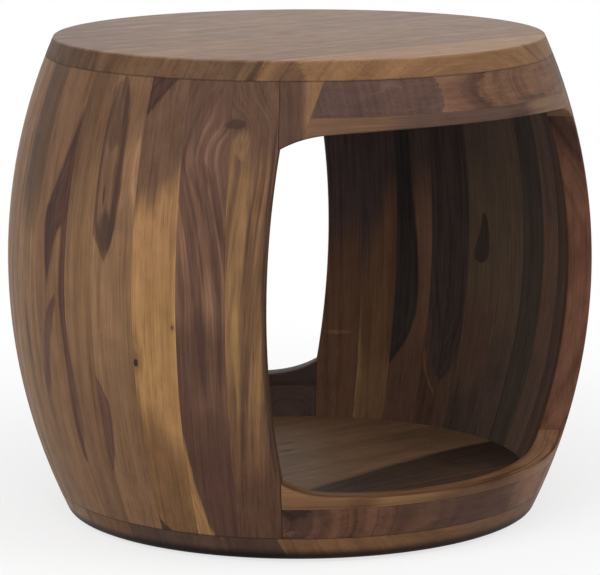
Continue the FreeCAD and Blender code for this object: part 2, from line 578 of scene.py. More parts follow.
def stave_tree() -> Tree:
    """The rule for one stave: a grid bent onto the drum between two azimuths, bowed where it is a jamb.

    Returns:
        The tree.
    """
    tree = Tree("curved_stave")
    names = ("Start", "End", "Start Bow", "End Bow", "Low Corner", "High Corner", "Bow Angle", "Thickness")
    start, end, start_bow, end_bow, low, high, bow, thickness = [tree.entry(name) for name in names]
    foot, head = tree.entry("Foot"), tree.entry("Head")
    belly, belly_z = tree.entry("Belly Radius"), tree.entry("Belly Height")
    upper, lower, wall_end = tree.entry("Upper Arc"), tree.entry("Lower Arc"), tree.entry("Wall End")
    columns, low_rows, jamb_rows, head_rows = 5, 3, 26, 4
    rows = low_rows + jamb_rows + head_rows
    counts = {"Vertices X": columns + 1, "Vertices Y": 2, "Vertices Z": rows + 1}
    grid = tree.node("GeometryNodeMeshCube", None, {"Size": (1.0, 1.0, 1.0), **counts})
    centred = tree.node("GeometryNodeInputPosition")
    shares = tree.move(centred, (0.5, 0.5, 0.5))
    settings = {"data_type": "FLOAT_VECTOR", "domain": "POINT"}
    marked = tree.node("GeometryNodeStoreNamedAttribute", settings,
                       {"Geometry": grid, "Name": "shares", "Value": shares})
    across, inwards, along = tree.parts(shares)
    first, second = low_rows / rows, (low_rows + jamb_rows) / rows
    height = foot + (low - foot) * along.ramp(0.0, first, smooth=False)
    height = height + (high - low) * along.ramp(first, second, smooth=False)
    height = height + (head - high) * along.ramp(second, 1.0, smooth=False)
    edge = belly * wall_end.tangent()
    bulge = belly * (wall_end + bow).tangent() - edge
    half = (high - low) / 2
    arc = (half * half + bulge * bulge) / (2 * bulge)
    away = height - (high + low) / 2
    reach = edge + bulge - arc + (arc * arc - away * away).most(0.0).root()
    bent = (reach.most(edge) / belly).arctangent() - wall_end
    first_edge, last_edge = start + start_bow * bent, end + end_bow * bent
    azimuth = first_edge + across * (last_edge - first_edge)
    rise = height - belly_z
    side_arc = lower + (upper - lower) * rise.above(0.0)
    inner_arc = side_arc - inwards * thickness
    radius = belly - side_arc + (inner_arc * inner_arc - rise * rise).root()
    place = tree.vector(radius * azimuth.sine(), -1.0 * radius * azimuth.cosine(), height)
    bent_grid = tree.node("GeometryNodeSetPosition", None, {"Geometry": marked, "Position": place})
    read = tree.node("GeometryNodeInputNamedAttribute", {"data_type": "FLOAT_VECTOR"}, {"Name": "shares"})
    a, b, c = tree.parts(read)
    near_end, two_of_three = 0.4999, 1.5
    on_side, on_face, on_end = [abs(part - 0.5).above(near_end) for part in (a, b, c)]
    sharp = (on_side + on_face + on_end).above(two_of_three)
    level = tree.parts(tree.node("GeometryNodeInputPosition"))[2]
    jamb = a.above(0.5) * abs(end_bow) + (1.0 - a.above(0.5)) * abs(start_bow)
    jamb = jamb * on_side * on_face * level.above(low) * (1.0 - level.above(high))
    weight = sharp * (HAIR / EASE) + jamb * (1.0 - HAIR / EASE)
    settings = {"data_type": "FLOAT", "domain": "EDGE"}
    weighed = tree.node("GeometryNodeStoreNamedAttribute", settings,
                        {"Geometry": bent_grid, "Name": "bevel_weight_edge", "Value": weight})
    clean = tree.node("GeometryNodeRemoveAttribute", None, {"Geometry": weighed, "Name": "shares"})
    tree.close(clean)
    return tree


@dataclass
class StaveWall:
    """One wall of ten staves between the two openings."""

    side: Side
    angles: tuple[float, ...]
    woods: Sequence["Wood"]

    def seams(self) -> list[float]:
        """Where the staves of the wall meet.

        Returns:
            Azimuths of the seams and of the wall's two ends, front to back.
        """
        result = [DRUM.wall_end * self.side.value]
        for angle in self.angles:
            result.append(result[-1] + angle * self.side.value)
        return result

    def build(self, tree: Tree) -> None:
        """Makes and dresses every stave.

        Args:
            tree: The rule for one stave.
        """
        seams = self.seams()
        for index, (start, end) in enumerate(zip(seams, seams[1:])):
            name = f"{self.side.name.lower()}_stave_{index + 1}"
            middle = (start + end) / 2
            wood = self.woods[index].dress(name.replace("_", " "), Lay.UPRIGHT, middle, (0.0, WALL_DEPTH))
            opening = BACK if index == len(self.angles) - 1 else FRONT
            bow = float(self.side.value)
            values = {
                "Wood": wood,
                "Start": math.radians(start),
                "End": math.radians(end),
                "Start Bow": bow if index == 0 else 0.0,
                "End Bow": -bow if index == len(self.angles) - 1 else 0.0,
                "Low Corner": opening.low_corner,
                "High Corner": opening.high_corner,
                "Bow Angle": math.radians(opening.jamb_bow),
                "Thickness": DRUM.wall,
                "Foot": DRUM.base_top,
                "Head": DRUM.top_underside,
                "Belly Radius": DRUM.belly_radius,
                "Belly Height": DRUM.belly_height,
                "Upper Arc": DRUM.upper_arc,
                "Lower Arc": DRUM.lower_arc,
                "Wall End": math.radians(DRUM.wall_end),
            }
            Piece(name, "stave_wood").finish(tree.make(name, values), wood)


@dataclass
class OpeningFrame:
    """The five pieces round one opening: a corner block, and a rail and a strip above and below."""

    end: str
    opening: Opening
    turn: float
    woods: dict[str, "Wood"]
    columns: int = 72
    block_columns: int = 14
    block_rows: int = 8
    rail_rows: int = 5
    strip_rows: int = 2
    joint_rounds: int = 8
    corner_gap: float = 0.2
    edge_gap: float = 0.4 * MM
    face_share: float = 0.3

    def _point(self, azimuth: float, z: float, inwards: float) -> Vector:
        """A point of the wall, turned to this end of the table."""
        return DRUM.point(azimuth + self.turn, z, inwards * DRUM.wall)

    def _joint(self, share: float, up: float, low: Callable[[float], float], high: float, inwards: float,
               of_block: bool) -> Vector:
        """A point of a lintel piece, whose end follows the slanted joint.

        Args:
            share: Share of the way to the right.
            up: Share of the way up.
            low: Height of the lower edge at an azimuth.
            high: Height of the upper edge.
            inwards: Share of the way through the wall.
            of_block: Whether the piece is left of the joint.

        Returns:
            The point.
        """
        z = high
        azimuth = 0.0
        for _ in range(self.joint_rounds):
            joint = self.opening.block_edge(z)
            start, end = (-DRUM.wall_end, joint) if of_block else (joint, DRUM.wall_end)
            azimuth = start + share * (end - start)
            z = low(azimuth) + up * (high - low(azimuth))
        return self._point(azimuth, z, inwards)

    def _sill(self, share: float, up: float, low: float, high: Callable[[float], float],
              inwards: float) -> Vector:
        """A point of a sill piece.

        Args:
            share: Share of the way to the right.
            up: Share of the way up.
            low: Height of the lower edge.
            high: Height of the upper edge at an azimuth.
            inwards: Share of the way through the wall.

        Returns:
            The point.
        """
        azimuth = (2 * share - 1) * DRUM.wall_end
        return self._point(azimuth, low + up * (high(azimuth) - low), inwards)

    def _on_edge(self, edge: Callable[[float], float]) -> Callable[[Vector], bool]:
        """A test for points on a level side of the opening.

        Args:
            edge: Height of that side at an azimuth.

        Returns:
            The test.
        """
        def test(point: Vector) -> bool:
            """Whether a point lies on that side.

            Args:
                point: The middle of an edge of the mesh.

            Returns:
                True where it lies on the side, and on the outer or the inner face.
            """
            azimuth = math.degrees(math.atan2(point.x, -point.y)) - self.turn
            azimuth = (azimuth + 180) % 360 - 180
            inside = abs(azimuth) < DRUM.wall_end - self.corner_gap
            depth = (DRUM.radius(point.z) - math.hypot(point.x, point.y)) / DRUM.wall
            on_face = abs(depth - 0.5) > self.face_share
            return inside and on_face and abs(point.z - edge(azimuth)) < self.edge_gap
        return test

    def build(self) -> None:
        """Makes and dresses the five pieces."""
        shape, top, sill = self.opening, DRUM.top_underside, self._sill

        def block(u: float, v: float, w: float) -> Vector:
            """The lintel's corner block."""
            return self._joint(u, v, shape.lintel_edge, top, w, True)

        def lintel_rail(u: float, v: float, w: float) -> Vector:
            """The rail over the opening."""
            return self._joint(u, v, lambda azimuth: shape.lintel_joint, top, w, False)

        def lintel_strip(u: float, v: float, w: float) -> Vector:
            """The strip under that rail."""
            return self._joint(u, v, shape.lintel_edge, shape.lintel_joint, w, False)

        def sill_rail(u: float, v: float, w: float) -> Vector:
            """The rail under the opening."""
            return sill(u, v, DRUM.base_top, lambda azimuth: shape.sill_joint, w)

        def sill_strip(u: float, v: float, w: float) -> Vector:
            """The strip on that rail."""
            return sill(u, v, shape.sill_joint, shape.sill_edge, w)

        over, under = self._on_edge(shape.lintel_edge), self._on_edge(shape.sill_edge)
        plan = (
            ("lintel_block", "rail_wood", Lay.UPRIGHT, block, self.block_columns, self.block_rows, over),
            ("lintel_rail", "rail_wood", Lay.RAIL, lintel_rail, self.columns, self.rail_rows, over),
            ("lintel_strip", "strip_wood", Lay.HOOP, lintel_strip, self.columns, self.strip_rows, over),
            ("sill_rail", "rail_wood", Lay.RAIL, sill_rail, self.columns, self.rail_rows, under),
            ("sill_strip", "strip_wood", Lay.HOOP, sill_strip, self.columns, self.strip_rows, under),
        )
        block_middle = (shape.block_edge(shape.lintel_joint) - DRUM.wall_end) / 2
        for name, slot, lay, place, columns, rows, eased in plan:
            middle = self.turn + (block_middle if lay is Lay.UPRIGHT else 0.0)
            node = f"{self.end}_{name}"
            level = 0.0 if lay is Lay.UPRIGHT else sum(corner.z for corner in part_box(node)) / 2
            wood = self.woods[name].dress(node.replace("_", " "), lay, middle, (level, WALL_DEPTH))
            Piece(node, slot).finish(grid_solid(node, columns, rows, place, eased), wood)


@dataclass
class RoundPanel:
    """A round panel glued up from boards of one width that run left to right."""

    prefix: str
    slot: str
    bottom: float
    top: float
    inset: float
    woods: Sequence["Wood"]
    round_bottom: float = 0.0
    round_top: float = 0.0
    arc_points: int = 40
    corner_points: int = 6
    side_steps: int = 4
    slope_step: float = 0.1 * MM
    weld: float = 0.001 * MM

    def _corner(self, z: float, towards: int, radius: float) -> list[Pair]:
        """The rounded edge of the rim as radius and height pairs.

        Args:
            z: Height of the face that the edge belongs to.
            towards: 1 for the upper face, -1 for the lower one.
            radius: Radius of the rounding.

        Returns:
            Points from the side to the face.
        """
        if radius == 0.0:
            return [(DRUM.radius(z, self.inset), z)]
        level, step = z - towards * radius / 2, self.slope_step
        rise = DRUM.radius(level + step, self.inset) - DRUM.radius(level - step, self.inset)
        lean = math.atan(abs(rise / (2 * step)))
        centre_z = z - towards * radius
        touch_z = centre_z + towards * radius * math.sin(lean)
        centre = DRUM.radius(touch_z, self.inset) - radius * math.cos(lean)
        points = []
        for index in range(self.corner_points + 1):
            angle = lean + (math.pi / 2 - lean) * index / self.corner_points
            z = centre_z + towards * radius * math.sin(angle)
            points.append((centre + radius * math.cos(angle), z))
        return points

    def _profile(self) -> list[Pair]:
        """The section through the rim.

        Returns:
            Radius and height pairs, from the lower face to the upper one.
        """
        low = self._corner(self.bottom, -1, self.round_bottom)[::-1]
        high = self._corner(self.top, 1, self.round_top)
        side = []
        for index in range(1, self.side_steps):
            z = low[-1][1] + (high[0][1] - low[-1][1]) * index / self.side_steps
            side.append((DRUM.radius(z, self.inset), z))
        return low + side + high

    def _ring(self, radius: float, low: float, high: float) -> list[Pair]:
        """Outline of one board in a disc.

        Args:
            radius: The disc's radius.
            low: Where the board starts, from front to back.
            high: Where it ends.

        Returns:
            Points that go round the board once.
        """
        start = math.asin(max(-1.0, low / radius))
        end = math.asin(min(1.0, high / radius))
        right = []
        for index in range(self.arc_points + 1):
            angle = start + (end - start) * index / self.arc_points
            right.append((radius * math.cos(angle), radius * math.sin(angle)))
        return right + [(-x, y) for x, y in reversed(right)]

    def build(self) -> None:
        """Makes and dresses every board."""
        profile = self._profile()
        widest = max(radius for radius, _ in profile)
        width = 2 * widest / len(self.woods)
        for index, wood in enumerate(self.woods):
            low = -2 * widest if index == 0 else width * index - widest
            high = 2 * widest if index == len(self.woods) - 1 else width * (index + 1) - widest
            mesh = bmesh.new()
            rings = []
            for radius, z in profile:
                rings.append([mesh.verts.new((x, y, z)) for x, y in self._ring(radius, low, high)])
            for lower, upper in zip(rings, rings[1:]):
                for one in range(len(lower)):
                    two = (one + 1) % len(lower)
                    mesh.faces.new((lower[one], lower[two], upper[two], upper[one]))
            mesh.faces.new(rings[0])
            mesh.faces.new(rings[-1])
            bmesh.ops.remove_doubles(mesh, verts=mesh.verts, dist=self.weld)
            bmesh.ops.recalc_face_normals(mesh, faces=mesh.faces)
            weigh(mesh, lambda point: False)
            node = f"{self.prefix}_board_{index + 1}"
            result = bpy.data.meshes.new(node)
            mesh.to_mesh(result)
            mesh.free()
            lowest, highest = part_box(node)
            middle = ((lowest.y + highest.y) / 2, (self.bottom + self.top) / 2)
            look = wood.dress(node.replace("_", " "), Lay.BOARD, 0.0, middle)
            Piece(node, self.slot).finish(result, look, segments=1)


@dataclass
class Glides:
    """Eight thin round pads under the rim of the base."""

    height: float = DRUM.glide_height
    diameter: float = 0.030
    inset: float = 0.008
    base_round: float = BASE_ROUND
    count: int = 8
    sides: int = 40

    def build(self, pad: "Pad") -> None:
        """Sets the pads out on their circle.

        Args:
            pad: Their finish.
        """
        tree = Tree("pads_on_a_circle")
        count = tree.entry("Count", "NodeSocketInt")
        circle, thick, round_by = tree.entry("Circle"), tree.entry("Height"), tree.entry("Radius")
        first = tree.entry("First Azimuth")
        ring = tree.node("GeometryNodeMeshCircle", None, {"Vertices": count, "Radius": circle})
        turned = tree.node("GeometryNodeTransform", None,
                           {"Geometry": ring, "Rotation": tree.vector(0.0, 0.0, first)})
        sizes = {"Vertices": self.sides, "Side Segments": 1, "Radius": round_by, "Depth": thick}
        disc = tree.node("GeometryNodeMeshCylinder", None, sizes)
        lifted = tree.node("GeometryNodeTransform", None,
                           {"Geometry": disc, "Translation": tree.vector(0.0, 0.0, thick / 2)})
        placed = tree.node("GeometryNodeInstanceOnPoints", None, {"Points": turned, "Instance": lifted})
        tree.close(placed)
        material = pad.dress()
        circle_radius = DRUM.radius(self.height) - self.base_round - self.inset - self.diameter / 2
        values = {"Wood": material, "Count": self.count, "Circle": circle_radius, "Height": self.height,
                  "Radius": self.diameter / 2, "First Azimuth": math.pi / self.count}
        result = tree.make("floor_glides", values)
        mesh = bmesh.new()
        mesh.from_mesh(result)
        weigh(mesh, lambda point: False)
        mesh.to_mesh(result)
        mesh.free()
        Piece("floor_glides", "glide_pads").finish(result, material, segments=2)


class Lay(Enum):
    """How a piece's grain lies: upright, level, level and bent round the wall, or level in a flat board."""

    UPRIGHT = "upright"
    RAIL = "rail"
    HOOP = "hoop"
    BOARD = "board"


class Layer(Enum):
    """The noises in a figure: how fine each is across the grain and along it, per metre, and its detail."""

    ROAM = (9.0, 2.2, 2.0)
    RIPPLE = (70.0, 13.0, 2.0)
    FIBRE = (760.0, 10.0, 2.0)
    STRAND = (170.0, 3.6, 3.0)
    PORE = (1500.0, 24.0, 0.0)
    CLOUD = (16.0, 5.0, 2.0)
    SILK = (60.0, 38.0, 2.0)
    SLOW = (36.0, 7.0, 2.0)
    FRAY = (120.0, 15.0, 3.0)
    FINGER = (240.0, 4.0, 2.0)
    SAW = (5.0, 190.0, 1.0)


def paint(colour: Colour) -> tuple[float, float, float, float]:
    """A colour as the shaders take it.

    Args:
        colour: Red, green and blue from 0 to 255, as a screen shows them.

    Returns:
        The same colour in linear light, with an alpha of 1.
    """
    linear = []
    for part in colour:
        share = part / 255
        linear.append(share / 12.92 if share <= 0.04045 else ((share + 0.055) / 1.055) ** 2.4)
    return (linear[0], linear[1], linear[2], 1.0)


@dataclass(frozen=True)
class Figure:
    """What all the woods share: sizes in metres, rings per metre, and how strong each layer shows."""

    knot: Colour = (48, 33, 30)
    line: tuple[float, float, float, float] = (0.34, 0.28, 0.28, 1.0)
    outside: tuple[tuple[Colour, Colour], ...] = (
        ((152, 116, 82), (114, 84, 61)), ((116, 84, 65), (78, 55, 46)), ((136, 102, 75), (98, 70, 54)),
    )
    outside_skin: Pair = (0.05, 0.16)
    bulge: float = 0.895
    level_reach: float = 0.32
    seed_steps: tuple[float, float, float] = (1.7, 0.9, 2.3)
    roughness: float = 0.55
    sway: float = 2.4
    ripple: float = 2.2 * MM
    swirl: float = 10.0 * MM
    swirl_reach: float = 6.0
    ring_seed: float = 0.35
    ring_drift: float = 0.03
    band_rings: float = 62.0
    band_cloud: float = 0.30
    band_rise: Pair = (0.39, 0.63)
    growth_rings: float = 270.0
    growth_rough: float = 0.6
    growth_rise: Pair = (0.46, 0.72)
    growth_line: float = 0.62
    strand_rise: Pair = (0.48, 0.78)
    strand_line: float = 0.42
    pencil_rings: float = 115.0
    pencil_rise: Pair = (0.034, 0.004)
    pencil_line: float = 0.40
    pore_rise: Pair = (0.62, 0.76)
    slow_fray: float = 7.0
    fine_fray: float = 3.0
    fibre_fray: float = 2.2
    finger: float = 22.0 * MM
    fade_roam: float = 70.0 * MM
    vein_rings: float = 260.0
    vein_seed: float = 0.6
    vein_drift: float = 0.04
    vein_shade: float = 2.4
    rim: Pair = (5.5 * MM, 1.5 * MM)
    stain: Pair = (3.6, 0.8)
    stain_share: float = 0.55
    heart: Pair = (1.25, 0.70)
    heart_fray: float = 0.10
    fibre_tone: float = 0.55
    cloud_tone: float = 0.50
    pore_tone: float = 0.16
    # Painted shade: a dark line over the base and under the top, for the shadow in these joints.
    joint: Pair = (1.3 * MM, 0.3 * MM)
    joint_shade: float = 0.38
    # Painted shade at the foot: the wood gets much darker towards the floor, for the shadow under the base.
    foot: Pair = (17.0 * MM, 7.0 * MM)
    foot_shade: float = 0.9
    rim_edge: Pair = (0.6 * MM, 2.4 * MM)
    rough: float = 0.50
    fibre_rough: float = 0.22
    pore_rough: float = 0.15
    silk_rough: float = 0.12
    fibre_bump: float = 0.5
    growth_bump: float = 0.35
    pore_bump: float = 0.8
    bump: float = 0.28
    bump_depth: float = 0.25 * MM
    coat_edge: Pair = (2.2 * MM, 0.3 * MM)
    coat_rough: float = 0.42


FIGURE = Figure()


@dataclass(frozen=True)
class Streak:
    """A patch of other wood between two edges; a few of them are painted shade or a painted highlight
    instead.

    Each edge is a few pairs: how far along the grain in millimetres, and where it is across the grain,
    as an azimuth on an upright piece and in millimetres on a level one.
    """

    left: Edge
    right: Edge
    colour: Colour
    strength: float = 0.9
    soft: float = 3.0
    wobble: float = 1.0
    rim: float = 0.0
    veins: float = 0.6
    fingers: float = 1.0
    calm: float = 0.0
    saw: float = 0.0


def patch(rows: Sequence[Colour], colour: Colour, *amounts: float, **changes: float) -> Streak:
    """A streak from rows: how far along the grain, and where the left and the right edge are there."""
    left, right = [tuple((row[0], row[side]) for row in rows) for side in (1, 2)]
    return Streak(left, right, colour, *amounts, **changes)


def vein_and_shade_line(path: Edge, width: float, colour: Colour, strength: float = 0.4, soft: float = 3.0) -> Streak:
    """A thin streak along a path: mostly a vein of the grain; along the first left stave's jamb, a line of
    painted shade.

    Args:
        path: Its middle, as pairs like those of a streak's edge.
        width: Its width, as an azimuth on an upright piece and in millimetres on a level one.
        colour: Its colour.
        strength: How much of the wood it covers.
        soft: How wide its edges are, in millimetres.

    Returns:
        The streak, which runs out to a point at both ends.
    """
    path = sorted(path)
    halves = [width / 2] * len(path)
    halves[0] = halves[-1] = -width / 6
    left = tuple((along, place - half) for (along, place), half in zip(path, halves))
    right = tuple((along, place + half) for (along, place), half in zip(path, halves))
    return Streak(left, right, colour, strength, soft, wobble=0.7, veins=0.2, fingers=0.4)


@dataclass(frozen=True)
class Fade:
    """Other wood that sets in along the grain, from where it starts to where it is full, in millimetres; on
    some top boards it is painted shade.
    """

    start: float
    full: float
    colour: Colour
    strength: float = 0.85
    slant: float = 0.0


@dataclass(frozen=True)
class Knot:
    """A small dark knot: where it is, as for a streak's edge, and its half sizes in millimetres."""

    along: float
    place: float
    half_across: float = 3.0
    half_along: float = 5.0
    strength: float = 0.9
    swirl: float = 1.0


class Board:
    """The grain of one piece: where a point lies in it, and the noises of its figure."""

    def __init__(self, graph: Graph, lay: Lay, azimuth: float, centre: Pair, wood: "Wood") -> None:
        """Lays the grain out.

        Args:
            graph: The material's graph.
            lay: How the grain lies.
            azimuth: Where the piece's middle stands.
            centre: The piece's middle across and into the grain.
            wood: The wood that it is cut from.
        """
        self.graph, self.lay, self.azimuth, self.wood = graph, lay, azimuth, wood
        whole = graph.node("ShaderNodeTexCoord", out="Object")
        turn = (0.0, 0.0, -math.radians(azimuth))
        sockets = {"Vector": whole, "Rotation": turn}
        x, y, z = graph.parts(graph.node("ShaderNodeMapping", {"vector_type": "POINT"}, sockets))
        self.z = z
        self.inwards = (x * x + y * y).root() * -1.0
        self.bulge = (z - DRUM.belly_height) ** 2.0 * FIGURE.bulge
        ways = {
            Lay.UPRIGHT: (x, y, z),
            Lay.RAIL: (z, y, x),
            Lay.HOOP: (z, self.inwards, x),
            Lay.BOARD: (y, z, x),
        }
        self.across, depth, self.along = ways[lay]
        self.aside = self.across - centre[0]
        self.into = depth - centre[1]
        if lay is not Lay.BOARD:
            self.into = self.into - self.bulge * wood.bend
        self.onward = self.along - (DRUM.height / 2 if lay is Lay.UPRIGHT else 0.0)
        steps = [step * wood.seed for step in FIGURE.seed_steps]
        self.grain = graph.vector(self.aside + steps[0], self.into + steps[1], self.onward + steps[2])
        self.fibre = self.noise(Layer.FIBRE) - 0.5
        self.slow = self.noise(Layer.SLOW) - 0.5
        self.finger = (self.noise(Layer.FINGER) - 0.5) * FIGURE.finger
        fray = self.slow * FIGURE.slow_fray + (self.noise(Layer.FRAY) - 0.5) * FIGURE.fine_fray
        self.fray = fray + self.fibre * FIGURE.fibre_fray

    def noise(self, layer: Layer, colour: bool = False) -> Value:
        """Noise that is drawn out along the grain.

        Args:
            layer: How fine it is.
            colour: Whether three values come back in place of one.

        Returns:
            The noise, about 0 to 1.
        """
        wide, long, detail = layer.value
        drawn = self.graph.move(self.grain, (wide, wide, long), "MULTIPLY")
        return self.graph.noise(drawn, 1.0, detail, FIGURE.roughness, colour)

    def place(self, along: float, place: float) -> float:
        """Where a streak's edge or a knot lies across the grain, in metres.

        Args:
            along: How far along the grain it is, in millimetres.
            place: Its azimuth on an upright piece, or millimetres on a level one.

        Returns:
            The distance from the piece's middle plane, or the height.
        """
        if self.lay is not Lay.UPRIGHT:
            return place * MM
        radius = DRUM.radius(along * MM, DRUM.wall if self.wood.inner else 0.0)
        return radius * math.sin(math.radians(place - self.azimuth))

    def curve(self, along: Value, places: Sequence[Pair]) -> Value:
        """A smooth curve along the grain.

        Args:
            along: Place along the grain.
            places: Pairs of how far along in millimetres and the value there.

        Returns:
            The value at each place.
        """
        reach = FIGURE.level_reach
        start, span = (0.0, DRUM.height) if self.lay is Lay.UPRIGHT else (-reach, 2 * reach)
        points = [((far * MM - start) / span, value + 0.5) for far, value in sorted(places)]
        share = (along - start) / span
        return self.graph.node("ShaderNodeFloatCurve", {"points": points}, {"Value": share}) - 0.5

    def far(self, knot: Knot) -> Value:
        """How far a point is from a knot.

        Args:
            knot: The knot.

        Returns:
            The distance, 1 at the knot's edge.
        """
        beside = (self.across - self.place(knot.along, knot.place)) / (knot.half_across * MM)
        beyond = (self.along - knot.along * MM) / (knot.half_along * MM)
        return (beside * beside + beyond * beyond).root()

    def faded(self, colour: Value, fade: Fade) -> Value:
        """Lays a fade over the wood.

        Args:
            colour: The wood so far.
            fade: The fade.

        Returns:
            The wood with the fade.
        """
        level = self.along + self.aside * fade.slant + self.finger + self.slow * FIGURE.fade_roam
        share = level.ramp(fade.start * MM, fade.full * MM) * fade.strength
        return self.graph.blend(share, colour, paint(fade.colour))

    def streaked(self, colour: Value, streak: Streak) -> tuple[Value, Value]:
        """Lays one streak over the wood.

        Args:
            colour: The wood so far.
            streak: The streak.

        Returns:
            The wood with the streak, and how much of the streak shows.
        """
        graph = self.graph
        along = self.along + self.finger * streak.fingers
        edges = []
        for edge in (streak.left, streak.right):
            edges.append(self.curve(along, [(reach, self.place(reach, place)) for reach, place in edge]))
        frayed = self.across + self.fray * (streak.wobble * MM)
        inside = (frayed - edges[0]).least(edges[1] - frayed)
        mask = inside.ramp(0.0, streak.soft * MM)
        veined = graph.vector(inside, FIGURE.vein_seed * self.wood.seed, along * FIGURE.vein_drift)
        shade = 1.0 + (graph.noise(veined, FIGURE.vein_rings) - 0.5) * (FIGURE.vein_shade * streak.veins)
        colour = graph.blend(mask * streak.strength, colour, graph.shade(paint(streak.colour)[:3], shade))
        if streak.rim > 0.0:
            colour = graph.blend(mask * inside.ramp(*FIGURE.rim) * streak.rim, colour, paint(FIGURE.knot))
        return colour, mask


@dataclass(frozen=True)
class Wood:
    """One board's wood: its colours, its figure and the streaks and knots in it."""

    pale: Colour
    brown: Colour
    dark: Colour
    seed: float
    band: float = 0.7
    lines: float = 0.5
    pith_across: float = 0.22
    pith_depth: float = 0.03
    lean: float = 0.02
    tilt: float = 0.0
    sway: float = 0.006
    gloss: float = 0.08
    coat: float = 0.0
    rim_shade: float = 0.0
    bend: float = 0.8
    ring: float = 1.0
    fine: float = 1.0
    silk: float = 0.42
    drift: Edge = ()
    fades: tuple[Fade, ...] = ()
    streaks: tuple[Streak, ...] = ()
    knots: tuple[Knot, ...] = ()
    inner: bool = False

    def dress(self, name: str, lay: Lay, azimuth: float, centre: Pair) -> bpy.types.Material:
        """Makes the material of one piece.

        Args:
            name: Name of the material.
            lay: How the grain lies.
            azimuth: Where the piece's middle stands.
            centre: The piece's middle across and into the grain.

        Returns:
            The material.
        """
        material = bpy.data.materials.new(name + " wood")
        material.use_nodes = True
        graph = Graph(material.node_tree)
        board = Board(graph, lay, azimuth, centre, self)
        spots = [(board.far(knot), knot) for knot in self.knots]
        rings = self._rings(board, spots)
        growth = graph.noise(rings, FIGURE.growth_rings * self.ring, rough=FIGURE.growth_rough)
        cloud, silk = board.noise(Layer.CLOUD) - 0.5, board.noise(Layer.SILK) - 0.5
        pore = board.noise(Layer.PORE).ramp(*FIGURE.pore_rise)
        broad = graph.noise(rings, FIGURE.band_rings * self.ring * self.fine, rough=FIGURE.roughness)
        banded = (broad + cloud * FIGURE.band_cloud).ramp(*FIGURE.band_rise) * self.band
        colour = graph.blend(banded, paint(self.pale), paint(self.brown))
        for fade in self.fades:
            colour = board.faded(colour, fade)
        lined = self._lined(board, rings, growth)
        tone: Number = 1.0
        for streak in self.streaks:
            colour, mask = board.streaked(colour, streak)
            if streak.calm > 0.0:
                lined = lined * (1.0 - mask * streak.calm)
            if streak.saw > 0.0:
                tone = (board.noise(Layer.SAW) - 0.5) * mask * streak.saw + tone
        if self.inner:
            depth = (DRUM.belly_radius - board.bulge + board.inwards) / DRUM.wall
            pale, brown = FIGURE.outside[int(self.seed) % len(FIGURE.outside)]
            skin = graph.blend(banded, paint(pale), paint(brown))
            colour = graph.blend(depth.ramp(*FIGURE.outside_skin), skin, colour)
        colour = graph.blend(lined, colour, FIGURE.line, "MULTIPLY")
        for far, knot in spots:
            stain = far.ramp(*FIGURE.stain) * (FIGURE.stain_share * knot.strength)
            heart = (far + board.fray * FIGURE.heart_fray).ramp(*FIGURE.heart) * knot.strength
            colour = graph.blend(heart, graph.blend(stain, colour, paint(self.dark)), paint(FIGURE.knot))
        tone = tone + board.fibre * FIGURE.fibre_tone + cloud * FIGURE.cloud_tone
        tone = tone + silk * self.silk - pore * FIGURE.pore_tone
        colour = graph.shade(colour, tone * self._shade(board.z))
        rough = FIGURE.rough + board.fibre * FIGURE.fibre_rough + pore * FIGURE.pore_rough
        height = board.fibre * FIGURE.fibre_bump + growth * FIGURE.growth_bump - pore * FIGURE.pore_bump
        relief = {"Strength": FIGURE.bump, "Distance": FIGURE.bump_depth, "Height": height}
        sockets = {
            "Base Color": colour,
            "Roughness": rough - silk * FIGURE.silk_rough,
            "Normal": graph.node("ShaderNodeBump", None, relief),
            "Specular IOR Level": self.gloss,
        }
        if self.coat > 0.0:
            low, high = [DRUM.height - below for below in FIGURE.coat_edge]
            sockets["Coat Weight"] = board.z.ramp(low, high) * self.coat
            sockets["Coat Roughness"] = FIGURE.coat_rough
        surface = graph.node("ShaderNodeBsdfPrincipled", None, sockets)
        graph.node("ShaderNodeOutputMaterial", None, {"Surface": surface})
        return material

    def _rings(self, board: Board, spots: Sequence[tuple[Value, Knot]]) -> Value:
        """Where a point lies among the growth rings.

        Args:
            board: The piece's grain.
            spots: How far off each knot is, with the knot.

        Returns:
            The distance from the pith, as the first number of a vector that noise is read at.
        """
        graph = board.graph
        roam, ripple = [graph.parts(board.noise(layer, True)) for layer in (Layer.ROAM, Layer.RIPPLE)]
        sway = FIGURE.sway * self.sway
        flow = board.aside + (roam[0] - 0.5) * sway + (ripple[0] - 0.5) * FIGURE.ripple
        sink = board.into + (roam[1] - 0.5) * sway + (ripple[1] - 0.5) * FIGURE.ripple
        if self.drift:
            flow = flow - board.curve(board.along, [(reach, shift * MM) for reach, shift in self.drift])
        core = (flow - self.pith_across - board.onward * self.lean) ** 2.0
        core = core + (sink - self.pith_depth - board.onward * self.tilt) ** 2.0
        away = core.root()
        for far, knot in spots:
            away = away + far.ramp(FIGURE.swirl_reach, 0.0) * (FIGURE.swirl * knot.swirl)
        return graph.vector(away, FIGURE.ring_seed * self.seed, board.onward * FIGURE.ring_drift)

    def _lined(self, board: Board, rings: Value, growth: Value) -> Value:
        """How dark the fine lines of the grain are.

        Args:
            board: The piece's grain.
            rings: Where a point lies among the growth rings.
            growth: Noise as fine as the rings.

        Returns:
            The share of the line colour, 0 to 1.
        """
        pencil = abs(board.graph.noise(rings, FIGURE.pencil_rings * self.ring, 1.0) - 0.5)
        lined = growth.ramp(*FIGURE.growth_rise) * FIGURE.growth_line
        lined = lined + board.noise(Layer.STRAND).ramp(*FIGURE.strand_rise) * FIGURE.strand_line
        lined = lined + pencil.ramp(*FIGURE.pencil_rise) * FIGURE.pencil_line
        return (lined * self.lines).least(1.0)

